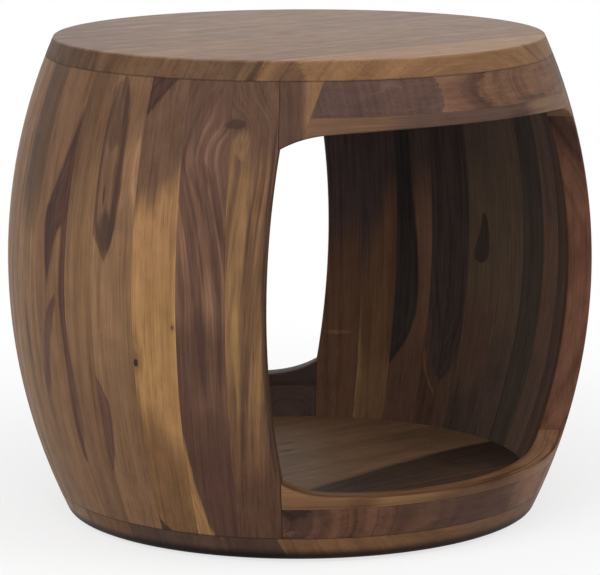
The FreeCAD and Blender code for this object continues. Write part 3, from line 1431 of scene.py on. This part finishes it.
    def _shade(self, z: Value) -> Value:
        """How light the wood is at a height: painted shade in the joints and at the foot, and darker on the
        top's rim.

        Args:
            z: The height.

        Returns:
            What the colour is multiplied by.
        """
        # Painted shade: darker towards the floor, for the shadow under the base.
        shade = 1.0 - z.ramp(*FIGURE.foot) * FIGURE.foot_shade
        # Painted shade: a dark line at each joint level, for the shadow in the gap between the parts.
        for level in (DRUM.base_top, DRUM.top_underside):
            shade = shade * (1.0 - abs(z - level).ramp(*FIGURE.joint) * FIGURE.joint_shade)
        if self.rim_shade > 0.0:
            start, full = [DRUM.height - below for below in FIGURE.rim_edge]
            shade = shade * (1.0 - z.ramp(start, full) * self.rim_shade)
        return shade


@dataclass(frozen=True)
class Pad:
    """The glides' dark plastic."""

    colour: Colour = (30, 27, 26)
    worn: Colour = (46, 42, 40)
    grain: float = 900.0
    bump: float = 0.3
    bump_depth: float = 0.2 * MM
    rough: float = 0.45
    grain_rough: float = 0.25

    def dress(self) -> bpy.types.Material:
        """Makes the pads' material, with a fine moulded grain.

        Returns:
            The material.
        """
        material = bpy.data.materials.new("glide pad plastic")
        material.use_nodes = True
        graph = Graph(material.node_tree)
        grain = graph.noise(graph.node("ShaderNodeTexCoord", out="Object"), self.grain)
        shade = graph.blend(grain, paint(self.colour), paint(self.worn))
        depth = {"Strength": self.bump, "Distance": self.bump_depth, "Height": grain}
        bump = graph.node("ShaderNodeBump", None, depth)
        sockets = {"Base Color": shade, "Roughness": self.rough + grain * self.grain_rough, "Normal": bump}
        surface = graph.node("ShaderNodeBsdfPrincipled", None, sockets)
        graph.node("ShaderNodeOutputMaterial", None, {"Surface": surface})
        return material


@dataclass(frozen=True)
class Softbox:
    """A large soft lamp that faces the table."""

    name: str
    azimuth: float
    elevation: float
    distance: float
    width: float
    height: float
    power: float

    def build(self, target: Vector) -> None:
        """Hangs the lamp and turns it to a point of the table.

        Args:
            target: The point that it faces.
        """
        lamp = bpy.data.lights.new(self.name, "AREA")
        lamp.shape = "RECTANGLE"
        lamp.size = self.width
        lamp.size_y = self.height
        lamp.energy = self.power
        holder = bpy.data.objects.new(self.name, lamp)
        side, up = math.radians(self.azimuth), math.radians(self.elevation)
        away = Vector((math.sin(side) * math.cos(up), -math.cos(side) * math.cos(up), math.sin(up)))
        holder.location = target + away * self.distance
        holder.rotation_euler = away.to_track_quat("Z", "Y").to_euler()
        bpy.context.scene.collection.objects.link(holder)


WHITE = (1.0, 1.0, 1.0, 1.0)


@dataclass
class Studio:
    """Camera, lamps, a white surround and a pale floor."""

    camera_place: Vector = field(default_factory=lambda: Vector((-2.1517, -2.6571, 0.8590)))
    camera_yaw: float = -39.0
    camera_pitch: float = 10.39
    camera_roll: float = -0.23
    lens: float = 198.55
    sensor: float = 36.0
    ambient: float = 0.26
    floor_size: float = 60.0
    floor_lift: float = 0.72
    floor_shade: float = 0.80
    shadow_edge: Pair = (0.25, 1.1)
    reach: float = 200.0
    lamps: tuple[Softbox, ...] = ()

    def build(self) -> None:
        """Sets the studio up."""
        scene = bpy.context.scene
        scene.view_settings.view_transform = "Standard"
        self._camera(scene)
        self._surround(scene)
        self._floor(scene)
        for lamp in self.lamps:
            lamp.build(Vector((0.0, 0.0, DRUM.belly_height)))

    def _camera(self, scene: bpy.types.Scene) -> None:
        """Places the camera at the photograph's viewing angle.

        Args:
            scene: The scene.
        """
        camera = bpy.data.cameras.new("camera")
        camera.lens = self.lens
        camera.sensor_width = self.sensor
        camera.sensor_fit = "HORIZONTAL"
        camera.clip_end = self.reach
        holder = bpy.data.objects.new("camera", camera)
        yaw = Matrix.Rotation(math.radians(self.camera_yaw), 4, "Z")
        tilt = Matrix.Rotation(math.radians(90 - self.camera_pitch), 4, "X")
        roll = Matrix.Rotation(math.radians(self.camera_roll), 4, "Z")
        holder.matrix_world = Matrix.Translation(self.camera_place) @ yaw @ tilt @ roll
        scene.collection.objects.link(holder)
        scene.camera = holder

    @staticmethod
    def _seen(graph: Graph) -> Value:
        """1 for what the camera sees, also in a reflection or through glass, else 0."""
        path = graph.node("ShaderNodeLightPath", out="Is Camera Ray")
        return path.most(path.other("Is Glossy Ray")).most(path.other("Is Transmission Ray"))

    def _surround(self, scene: bpy.types.Scene) -> None:
        """A surround that looks white and gives a little light.

        Args:
            scene: The scene.
        """
        world = bpy.data.worlds.new("white_surround")
        world.use_nodes = True
        scene.world = world
        graph = Graph(world.node_tree)
        strength = self.ambient + self._seen(graph) * (1.0 - self.ambient)
        sky = graph.node("ShaderNodeBackground", None, {"Color": WHITE, "Strength": strength})
        graph.node("ShaderNodeOutputWorld", None, {"Surface": sky})

    def _floor(self, scene: bpy.types.Scene) -> None:
        """A pale floor that looks white and keeps the table's shadow.

        Args:
            scene: The scene.
        """
        half = self.floor_size / 2
        mesh = bpy.data.meshes.new("floor")
        corners = [(-half, -half, 0), (half, -half, 0), (half, half, 0), (-half, half, 0)]
        mesh.from_pydata(corners, [], [(0, 1, 2, 3)])
        floor = bpy.data.objects.new("floor", mesh)
        scene.collection.objects.link(floor)
        material = bpy.data.materials.new("pale floor")
        material.use_nodes = True
        graph = Graph(material.node_tree)
        white = self._seen(graph)
        shade = graph.blend(white, (*[self.floor_shade] * 3, 1.0), WHITE)
        pale = graph.node("ShaderNodeBsdfDiffuse", None, {"Color": shade})
        glow = graph.node("ShaderNodeEmission", None, {"Color": WHITE, "Strength": 1.0})
        x, y, _ = graph.parts(graph.node("ShaderNodeTexCoord", out="Object"))
        away = (x * x + y * y).root().ramp(*self.shadow_edge)
        share = white * (self.floor_lift + away * (1.0 - self.floor_lift))
        both = graph.node("ShaderNodeMixShader", None, {0: share, 1: pale, 2: glow})
        graph.node("ShaderNodeOutputMaterial", None, {"Surface": both})
        mesh.materials.append(material)


TAN: Colour = (146, 113, 83)
BROWN: Colour = (112, 81, 60)
UMBER: Colour = (92, 65, 52)
PLUM: Colour = (84, 57, 49)
COCOA: Colour = (70, 48, 41)
DUSK: Colour = (74, 52, 45)
HONEY: Colour = (146, 112, 73)
OLIVE: Colour = (112, 91, 72)
NIGHT: Colour = (64, 50, 45)


def plain(seed: float, **changes: object) -> Wood:
    """A board of ordinary wood.

    Args:
        seed: What sets its figure apart.
        changes: Fields that differ.

    Returns:
        The wood.
    """
    return Wood(**{"pale": TAN, "brown": BROWN, "dark": COCOA, "seed": seed, **changes})


# Left wall, front to back
LEFT_WOODS = (
    Wood((131, 98, 67), (88, 63, 49), COCOA, 1.2, band=0.85, lines=0.5, pith_across=0.15, sway=0.003,
        fine=1.9,
        drift=((485, -18), (460, -9), (440, 0), (415, 4), (340, -3), (260, -10), (120, -14), (30, -14)),
        fades=(
            Fade(385, 430, (90, 65, 52), 0.9, 0.3),
            Fade(205, 120, (94, 66, 50), 0.6),
            Fade(130, 65, (86, 60, 47), 0.85),
        ),
        streaks=(
            patch(((310, -51.2, -50.8), (280, -51.8, -50.0), (240, -51.9, -49.8), (190, -51.4, -50.0),
                    (150, -50.6, -50.4)), (150, 117, 74), 0.6, 5.0),
            # Painted shade: a dark line along the jamb's edge, for the shaded face of the jamb.
            vein_and_shade_line(((450, -43.1), (430, -43.6), (400, -44.3), (330, -45.4), (250, -45.7), (180, -45.3),
                    (110, -44.2), (70, -43.3)), 1.0, (58, 42, 37), 0.7, 2.4),
            vein_and_shade_line(((405, -47.9), (350, -48.4), (300, -48.9), (240, -49.5), (180, -49.9), (120, -50.6),
                    (80, -51)), 1.2, DUSK),
            patch(((408, -50.2, -50.0), (412, -51.4, -48.9), (422, -52.3, -48.1), (432, -51.8, -48.4),
                    (438, -50.4, -49.8)), HONEY, 0.42, 7.0, 1.6),
            patch(((414, -50.3, -50.1), (418, -51.0, -49.5), (424, -51.3, -49.3), (432, -50.4, -50.0)),
                (84, 60, 48), 0.7, 5.0, 1.6),
            Streak(((345, -57), (440, -57)), ((345, -53.4), (370, -51.8), (410, -51.5), (445, -53.2)),
                (84, 60, 48), 0.55, 8.0, veins=0.2),
        ), knots=(Knot(441, -51.7, 10.0, 4.6, 0.62, 0.9),)),
    Wood((134, 100, 78), (90, 64, 53), COCOA, 2.3, band=0.92, lines=0.45, pith_across=0.12,
        pith_depth=0.02, bend=1.0, sway=0.006, fine=1.8,
        drift=((485, 15), (470, 9), (450, 1), (430, -6), (408, -10), (390, -7), (360, 1), (320, 10),
            (280, 16), (230, 19), (150, 20), (30, 20)),
        fades=(
            Fade(425, 462, (88, 63, 51), 0.88),
            Fade(275, 230, (76, 53, 45), 0.6),
            Fade(190, 105, (78, 53, 44), 0.8),
        ),
        streaks=(
            vein_and_shade_line(((480, -54.4), (472, -55.6), (455, -57.8), (435, -59.2), (417, -59.7), (400, -59.4)), 1.6,
                DUSK),
            vein_and_shade_line(((480, -55.6), (472, -56.8), (445, -60.0), (415, -61.5), (390, -62.4), (370, -63)), 1.6,
                DUSK),
            vein_and_shade_line(((408, -61.2), (395, -60.2), (380, -58.9), (355, -56.8), (325, -55.4), (290, -54.2),
                    (255, -52.9)), 1.5, DUSK),
            vein_and_shade_line(((412, -58.4), (400, -57.4), (375, -55.4), (345, -54.0), (320, -52.9)), 1.8, DUSK, 0.5),
            Streak(((322, -53.4), (350, -55.4), (400, -56.2), (430, -55.6), (448, -53.6)),
                ((322, -50), (448, -50)), (84, 60, 50), 0.6, 9.0, veins=0.2),
            patch(((290, -58.0, -57.4), (262, -59.0, -56.4), (220, -59.2, -55.6), (180, -58.6, -56.0),
                    (160, -57.4, -56.8)), (62, 45, 41), 0.6, 8.0, 1.6),
            Streak(((27, -66), (172, -66)),
                ((27, -58.4), (60, -59.8), (100, -61.0), (140, -61.9), (172, -62.5), (185, -64)),
                (150, 112, 73), 0.9, 3.0),
        ), knots=(Knot(440, -53.0, 5.0, 3.6, 0.5, 0.6),)),
    Wood((168, 128, 82), (142, 105, 68), (96, 68, 50), 3.1, band=0.7, lines=0.4, silk=0.6,
        fades=(
            Fade(250, 340, (146, 108, 76), 0.6),
            Fade(350, 395, (96, 71, 56), 0.95, -0.7),
            Fade(175, 110, (106, 76, 52), 0.85, 1.4),
        ),
        streaks=(
            Streak(((165, -92), (265, -92)),
                ((165, -76), (190, -70.6), (215, -68.0), (240, -70.0), (265, -76)), (120, 87, 59), 0.6,
                14.0, 2.0, veins=0.0),
            Streak(((436, -92), (481, -92)),
                ((432, -76), (443, -71.6), (460, -68.6), (470, -67.0), (481, -64.8)), (70, 47, 41), 0.95,
                3.0, fingers=0.2),
            Streak(((20, -92), (75, -92)), ((27, -68.4), (36, -70.3), (46, -71.5), (54, -74)),
                (58, 41, 36), 0.9, 3.0, fingers=0.2),
        ), knots=(Knot(205, -71.1, 2.9, 4.8, 0.97, 1.0), Knot(244, -63.0, 1.0, 1.6, 0.8, 0.3))),
    Wood((138, 106, 78), (116, 86, 63), (88, 63, 50), 4.4, band=0.7, lines=0.45,
        fades=(
            Fade(395, 450, (106, 79, 60), 0.75),
            Fade(225, 175, (108, 79, 58), 0.5),
            Fade(95, 50, (136, 102, 74), 0.5),
        ),
        streaks=(
            Streak(((294, -78.2), (302, -79.0), (318, -80.6), (330, -82.0), (350, -83.0), (440, -83.0),
                    (466, -81.6), (478, -79.4), (484, -77.6)),
                ((294, -78.8), (302, -78.0), (318, -76.8), (340, -75.6), (370, -75.0), (420, -74.9),
                    (450, -75.6), (472, -77.0), (484, -78.8)), (97, 71, 56), 0.75, 5.0, rim=0.6,
                fingers=0.3),
            patch(((404, -79.4, -78.8), (425, -81.6, -76.0), (450, -81.0, -76.2), (466, -80.4, -76.8),
                    (480, -79.0, -78.4)), (84, 62, 50), 0.75, 7.0, veins=0.2),
            vein_and_shade_line(((482, -78.6), (465, -77.4), (440, -76.7), (410, -76.3), (380, -76.2), (350, -76.5),
                    (325, -77.2), (300, -78.6)), 2.0, (70, 51, 44), 0.75, 3.5),
            vein_and_shade_line(((480, -79.2), (460, -80.3), (430, -80.9), (390, -81.1), (350, -81.1), (330, -80.4),
                    (296, -78.4)), 1.3, (70, 51, 44), 0.65),
            patch(((298, -78.2, -78.8), (318, -80.4, -76.8), (335, -80.8, -76.2), (360, -78.6, -78.4)),
                (70, 55, 48), 0.8, 8.0, veins=0.0),
            patch(((346, -79.2, -79.4), (365, -79.7, -78.9), (385, -79.3, -79.4)), (62, 44, 40), 0.8, 1.5,
                0.4, fingers=0.1),
            Streak(((76, -86), (195, -86)),
                ((76, -83.0), (84, -81.0), (100, -79.5), (125, -78.5), (150, -78.3), (170, -79.5),
                    (187, -81.4), (197, -83.6)), (82, 57, 48), 0.9, 4.0, fingers=0.3),
            # Painted highlight: a pale pinkish patch high on the stave's right side.
            patch(((340, -72.4, -72.2), (370, -73.4, -70.4), (400, -73.8, -70.2), (430, -72.6, -72.0)),
                (168, 128, 95), 0.5, 7.0),
        )),
    Wood((130, 99, 71), (108, 79, 58), (86, 62, 49), 5.2, band=0.75, lines=0.45,
        fades=(Fade(310, 430, (95, 70, 53), 0.8), Fade(215, 165, (106, 78, 58), 0.5)),
        streaks=(
            Streak(((84, -97), (262, -97)),
                ((84, -91.4), (100, -88.9), (115, -87.8), (150, -87.3), (200, -88.0), (240, -88.9),
                    (265, -91.0)), PLUM, 0.88, 4.0, fingers=0.3),
        )),
    Wood((126, 94, 68), (104, 75, 55), COCOA, 6.6, band=0.6, lines=0.45,
        fades=(Fade(300, 400, (112, 82, 62), 0.6),),
        streaks=(
            Streak(((455, -89.1), (440, -90.3), (410, -92.0), (380, -94.1), (345, -97.0), (332, -97.6),
                    (300, -96.9), (275, -96.1), (256, -94.9)),
                ((455, -91.3), (447, -89.1), (441, -86.5), (348, -86.5), (336, -88.4), (326, -90.6),
                    (310, -92.2), (290, -93.1), (270, -94.2), (256, -95.4)), (72, 49, 43), 0.9, 8.0, 1.4,
                fingers=0.3),
            vein_and_shade_line(((360, -95.0), (340, -95.9), (300, -95.8), (262, -95.3)), 1.6, (58, 40, 37), 0.6),
            Streak(((84, -89.6), (100, -90.5), (150, -90.6), (200, -90.5), (250, -91.0), (300, -91.1),
                    (340, -91.0), (380, -90.2)), ((84, -90.2), (96, -86.5), (380, -86.5)), (82, 56, 48),
                0.88, 4.0, fingers=0.3),
            patch(((146, -98.2, -98.8), (156, -99.8, -97.2), (200, -98.1, -94.9), (240, -95.9, -92.5),
                    (254, -94.0, -91.7), (266, -91.6, -92.2)), (86, 60, 50), 0.88, 5.0, fingers=0.4),
        )),
    Wood((138, 106, 76), (112, 81, 58), COCOA, 7.1, band=0.7, lines=0.6,
        fades=(Fade(300, 370, (78, 57, 46), 0.8),),
        streaks=(
            patch(((150, -103.8, -104.2), (200, -105.3, -103.5), (270, -104.7, -105.0)), (88, 62, 51), 0.7,
                4.0),
        )),
    plain(8.3, band=0.8, lines=0.7),
    plain(9.2, band=0.8, lines=0.6),
    plain(10.7, band=0.8, lines=0.7, pith_across=0.05, pith_depth=0.05),
)
# Right wall, front to back, with the figure of its inner side
RIGHT_WOODS = (
    Wood((108, 73, 56), (68, 46, 39), COCOA, 11.3, band=0.9, lines=0.8, fine=1.5, silk=0.8),
    Wood((112, 86, 74), (92, 71, 63), NIGHT, 12.1, inner=True, band=0.7, lines=0.6),
    Wood((124, 96, 82), (104, 80, 69), COCOA, 13.6, inner=True, band=0.7, lines=0.5,
        streaks=(
            patch(((130, 68, 67), (160, 60, 76), (270, 60, 76), (300, 68, 67)), (138, 104, 79), 0.5, 24.0,
                3.0, veins=0.0),
        )),
    Wood((84, 70, 59), (68, 57, 48), NIGHT, 14.2, inner=True, band=0.7, lines=0.6),
    Wood(OLIVE, (97, 79, 63), COCOA, 15.8, inner=True, band=0.6, lines=0.35,
        fades=(Fade(190, 110, (90, 71, 64), 0.7),)),
    Wood(OLIVE, (97, 79, 63), COCOA, 16.4, inner=True, band=0.6, lines=0.4,
        fades=(
            Fade(300, 345, (94, 77, 70), 0.7),
            Fade(215, 165, (108, 81, 68), 0.7),
            Fade(110, 60, (78, 62, 57), 0.7),
        ),
        streaks=(
            Streak(((222, 95.4), (228, 92.9), (240, 92.3), (262, 92.5), (278, 93.4), (286, 94.8)),
                ((222, 95.0), (228, 97.2), (240, 97.0), (262, 95.6), (284, 94.4), (290, 93.8)), NIGHT, 0.9,
                3.0, fingers=0.2),
        )),
    Wood((106, 80, 64), (92, 68, 55), COCOA, 17.9, inner=True, band=0.6, lines=0.5,
        streaks=(
            Streak(((86, 103.2), (92, 101.6), (105, 100.0), (130, 98.3), (160, 97.0), (481, 96.0)),
                ((86, 102.8), (92, 104.6), (100, 106.2), (120, 107.6), (150, 108.7), (180, 109.8),
                    (240, 111), (481, 112)), (76, 63, 59), 0.92, 4.0, fingers=0.3),
            patch(((225, 104.4, 104.6), (260, 104.0, 105.6), (300, 104.6, 105.2)), (92, 75, 71), 0.6, 4.0),
            patch(((68, 103.0, 103.2), (80, 104.4, 105.7), (95, 106.9, 108.1), (120, 108.4, 109.5),
                    (138, 109.6, 109.2)), (150, 104, 80), 0.6, 2.5, 0.5, fingers=0.2),
        )),
    Wood((138, 102, 82), (116, 86, 69), COCOA, 18.5, inner=True, band=0.6, lines=0.4,
        fades=(Fade(260, 350, (78, 68, 62), 0.85), Fade(160, 110, (106, 79, 66), 0.8)),
        streaks=(
            Streak(((92, 119.4), (100, 117.9), (110, 116.0), (125, 114.0), (150, 112.0), (170, 111.5),
                    (220, 112.1), (280, 113.4), (340, 114.0), (481, 113.8)), ((90, 122), (481, 122)),
                (57, 52, 50), 0.92, 4.0, fingers=0.3),
        )),
    Wood((128, 95, 70), (110, 80, 61), COCOA, 19.2, inner=True, band=0.7, lines=0.5,
        fades=(Fade(130, 75, (150, 116, 80), 0.6), Fade(225, 295, (80, 69, 69), 0.9, 2.3)),
        streaks=(
            patch(((35, 124.6, 128), (100, 124.9, 127.6), (180, 126.2, 126.8)), (172, 137, 92), 0.6, 5.0),
        )),
    Wood((128, 92, 70), (110, 79, 61), COCOA, 20.8, inner=True, band=0.7, lines=0.5,
        fades=(Fade(215, 285, (90, 77, 78), 0.9),),
        streaks=(
            patch(((130, 140, 124), (131.5, 128.2, 135.4), (135, 128.2, 135.4), (136.5, 140, 124)),
                (160, 120, 92), 0.45, 2.0, 0.3, fingers=0.12),
        )),
)
# Round the front opening
FRONT_WOODS = {
    "lintel_block": Wood((86, 62, 50), (74, 53, 44), COCOA, 21.4, band=0.5, lines=0.35,
        streaks=(
            Streak(((420, -38.6), (445, -38.8), (482, -38.6)), ((420, -25), (482, -25)), (134, 99, 70),
                0.62, 8.0, 0.6, veins=0.1),
        )),
    "lintel_rail": Wood((122, 88, 68), (86, 61, 51), COCOA, 22.7, band=0.95, lines=0.7, pith_across=0.002,
        pith_depth=0.03, lean=0.0, tilt=-0.2, bend=1.0, ring=0.55, sway=0.003,
        streaks=(
            patch(((-250, 420, 510), (-46, 420, 510), (-36, 472, 458)), (86, 65, 58), 0.92, 10.0, 1.2,
                veins=0.2, calm=0.9, saw=0.7),
            patch(((-106, 466, 468), (-92, 468, 482), (-78, 472, 474)), (122, 93, 80), 0.5, 6.0),
            patch(((-20, 467, 461), (-13, 456, 473), (0, 446, 483), (20, 430, 500), (50, 430, 500)),
                (82, 58, 48), 0.65, 6.0, veins=0.3),
            patch(((2, 467, 461), (9, 457, 472), (22, 447, 481), (50, 430, 500), (200, 430, 500)),
                (126, 92, 70), 0.7, 6.0, veins=0.3),
            patch(((50, 449, 450), (66, 447, 455), (110, 447, 455), (130, 449, 450)), (78, 62, 50), 0.7,
                4.0),
            vein_and_shade_line(((15, 464), (40, 464), (80, 463)), 3.0, DUSK, 0.5),
            vein_and_shade_line(((30, 457), (80, 459), (150, 457)), 2.5, DUSK, 0.5),
        )),
    "lintel_strip": Wood((92, 70, 59), (80, 61, 52), UMBER, 23.3, band=0.6, lines=0.4,
        fades=(Fade(-70, -98, (108, 80, 60), 0.85), Fade(64, 92, (130, 101, 78), 0.85))),
    "sill_rail": Wood((112, 78, 59), (78, 54, 44), COCOA, 24.9, band=0.95, lines=0.85, pith_across=0.0,
        pith_depth=0.0675, lean=0.0, tilt=0.1, bend=1.0, ring=0.55,
        fades=(
            Fade(-62, -40, (90, 64, 52), 0.8),
            Fade(40, 110, (142, 100, 74), 0.8),
            Fade(-138, -162, (80, 58, 48), 0.8),
        ),
        streaks=(
            patch(((-48, 26, 34), (-20, 26, 42), (0, 34, 36)), (68, 51, 45), 0.5, 6.0, 2.0),
            patch(((-192, 28, 36), (-178, 28, 42), (-164, 34, 38)), (136, 94, 66), 0.6, 4.0, 3.0),
            patch(((-186, 52, 60), (-172, 50, 64), (-158, 56, 58)), (46, 34, 31), 0.7, 4.0, 3.0),
        )),
    "sill_strip": Wood((134, 99, 68), (96, 68, 49), UMBER, 25.5, band=0.9, lines=1.3, pith_across=0.03,
        pith_depth=0.12, lean=0.0, bend=0.0, fine=1.6,
        fades=(Fade(50, 110, (148, 112, 84), 0.6), Fade(160, 190, (112, 79, 60), 0.7))),
}
# Round the back opening
BACK_WOODS = {
    "lintel_block": plain(31.4, band=0.8),
    "lintel_rail": plain(32.7, band=0.9, lines=0.7, pith_across=0.004, pith_depth=0.045),
    "lintel_strip": plain(33.3),
    "sill_rail": Wood((102, 82, 74), (86, 68, 61), COCOA, 34.9, band=0.8, lines=0.5, pith_across=0.0,
        pith_depth=0.05),
    "sill_strip": Wood((86, 67, 60), (74, 57, 51), COCOA, 35.5, band=0.7, lines=0.5),
}
# Boards of the top, the base and the inner floor, front to back
TOP_WOODS = (
    Wood((146, 109, 76), (124, 91, 64), UMBER, 41.2, band=0.6, lines=0.45, coat=0.32, rim_shade=0.16,
        streaks=(
            patch(((-260, -262, -170), (-175, -262, -170), (-150, -262, -230)), (98, 71, 53), 0.8, 26.0,
                veins=0.0),
        )),
    Wood((126, 95, 70), (108, 80, 60), UMBER, 42.6, band=0.7, lines=0.6, silk=0.75, coat=0.32,
        rim_shade=0.36),
    Wood((128, 97, 72), (108, 80, 60), UMBER, 43.1, band=0.7, lines=0.6, silk=0.75, coat=0.32,
        rim_shade=0.36),
    # Painted shade: boards four to six fade darker towards the back left, for the dimmer reflection on that
    # part of the top.
    Wood((122, 93, 70), (104, 77, 59), UMBER, 44.7, band=0.7, lines=0.6, silk=0.75, coat=0.32,
        rim_shade=0.36, fades=(Fade(-90, -220, (96, 71, 54), 0.4),)),
    Wood((130, 98, 72), (108, 80, 60), UMBER, 45.3, band=0.7, lines=0.6, silk=0.75, coat=0.32,
        rim_shade=0.36, fades=(Fade(-60, -200, (94, 69, 53), 0.6),)),
    Wood((124, 95, 71), (106, 79, 60), UMBER, 46.9, band=0.7, lines=0.6, silk=0.75, coat=0.32,
        rim_shade=0.16, fades=(Fade(0, -160, (94, 69, 53), 0.7),)),
)
BASE_WOODS = (
    Wood((124, 90, 62), (100, 71, 51), UMBER, 51.2, band=0.7, lines=0.4),
    Wood((88, 65, 53), (71, 52, 45), COCOA, 52.6, band=0.7, lines=0.4),
    Wood((82, 63, 53), (71, 53, 46), COCOA, 53.1, band=0.7, lines=0.4),
    Wood((116, 84, 60), (96, 69, 51), COCOA, 54.8, band=0.7, lines=0.4),
    plain(55.5),
    plain(56.3),
    plain(57.7),
)
FLOOR_WOODS = (
    Wood((80, 61, 50), (66, 49, 42), COCOA, 61.4, band=0.5, lines=0.3),
    Wood((146, 114, 87), (126, 97, 74), UMBER, 62.1, band=0.5, lines=0.3,
        streaks=(
            Streak(((-240, -150), (240, -150)), ((-240, -112), (-51, -82), (146, -45), (240, -40)),
                (64, 49, 42), 0.94, 13.0),
        )),
    Wood((152, 119, 90), (130, 100, 77), UMBER, 63.9, band=0.5, lines=0.3,
        streaks=(
            Streak(((-60, -60), (60, -60), (240, -60)), ((-60, -59), (60, -57), (146, -45), (240, -40)),
                (64, 49, 42), 0.94, 13.0),
        )),
    Wood((166, 130, 100), (142, 109, 85), UMBER, 64.2, band=0.5, lines=0.3,
        knots=(Knot(52, 90, 7.0, 12.0, 0.3, 0.6), Knot(28, 60, 5.0, 9.0, 0.3, 0.6))),
    Wood((160, 124, 95), (136, 104, 80), UMBER, 65.8, band=0.5, lines=0.3),
)


def main() -> None:
    """Builds the table piece by piece and sets up the studio."""
    logging.basicConfig(level=logging.INFO, format="%(message)s")
    left_angles = (9.8, 9.5, 9.3, 9.8, 7.6, 10.5, 8.9, 8.9, 8.9, 10.8)
    right_angles = (10.0, 9.0, 9.3, 9.1, 9.2, 9.2, 10.2, 9.1, 8.4, 10.5)
    tree = stave_tree()
    StaveWall(Side.LEFT, left_angles, LEFT_WOODS).build(tree)
    StaveWall(Side.RIGHT, right_angles, RIGHT_WOODS).build(tree)
    OpeningFrame("front", FRONT, 0.0, FRONT_WOODS).build()
    OpeningFrame("back", BACK, 180.0, BACK_WOODS).build()
    low, high = DRUM.base_top, DRUM.top_underside
    RoundPanel("top", "top_wood", high, DRUM.height, 0.0, TOP_WOODS, round_top=TOP_ROUND).build()
    foot = DRUM.glide_height
    RoundPanel("base", "base_wood", foot, low, 0.0, BASE_WOODS, round_bottom=BASE_ROUND).build()
    floor_inset = DRUM.wall + FLOOR_CLEARANCE
    RoundPanel("floor", "floor_wood", low, DRUM.floor_top, floor_inset, FLOOR_WOODS).build()
    Glides().build(Pad())
    dowel_wood = plain(71.0).dress("dowel", Lay.UPRIGHT, 0.0, (0.0, 0.0))
    for name in ("top_dowels", "base_dowels"):
        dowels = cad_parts[name].data
        dowels.materials.clear()
        dowels.materials.append(dowel_wood)
        log.info("%s keep their CAD shape", name)
    lamps = (
        Softbox("left_softbox", -78.0, 30.0, distance=3.2, width=2.2, height=2.2, power=45.0),
        Softbox("front_softbox", 30.0, 40.0, distance=3.6, width=2.0, height=2.0, power=30.0),
        Softbox("camera_softbox", -36.0, 20.0, distance=3.6, width=1.6, height=1.2, power=22.0),
        Softbox("top_softbox", -20.0, 80.0, distance=2.6, width=2.4, height=2.4, power=20.0),
    )
    Studio(lamps=lamps).build()


if __name__ == "__main__":
    main()
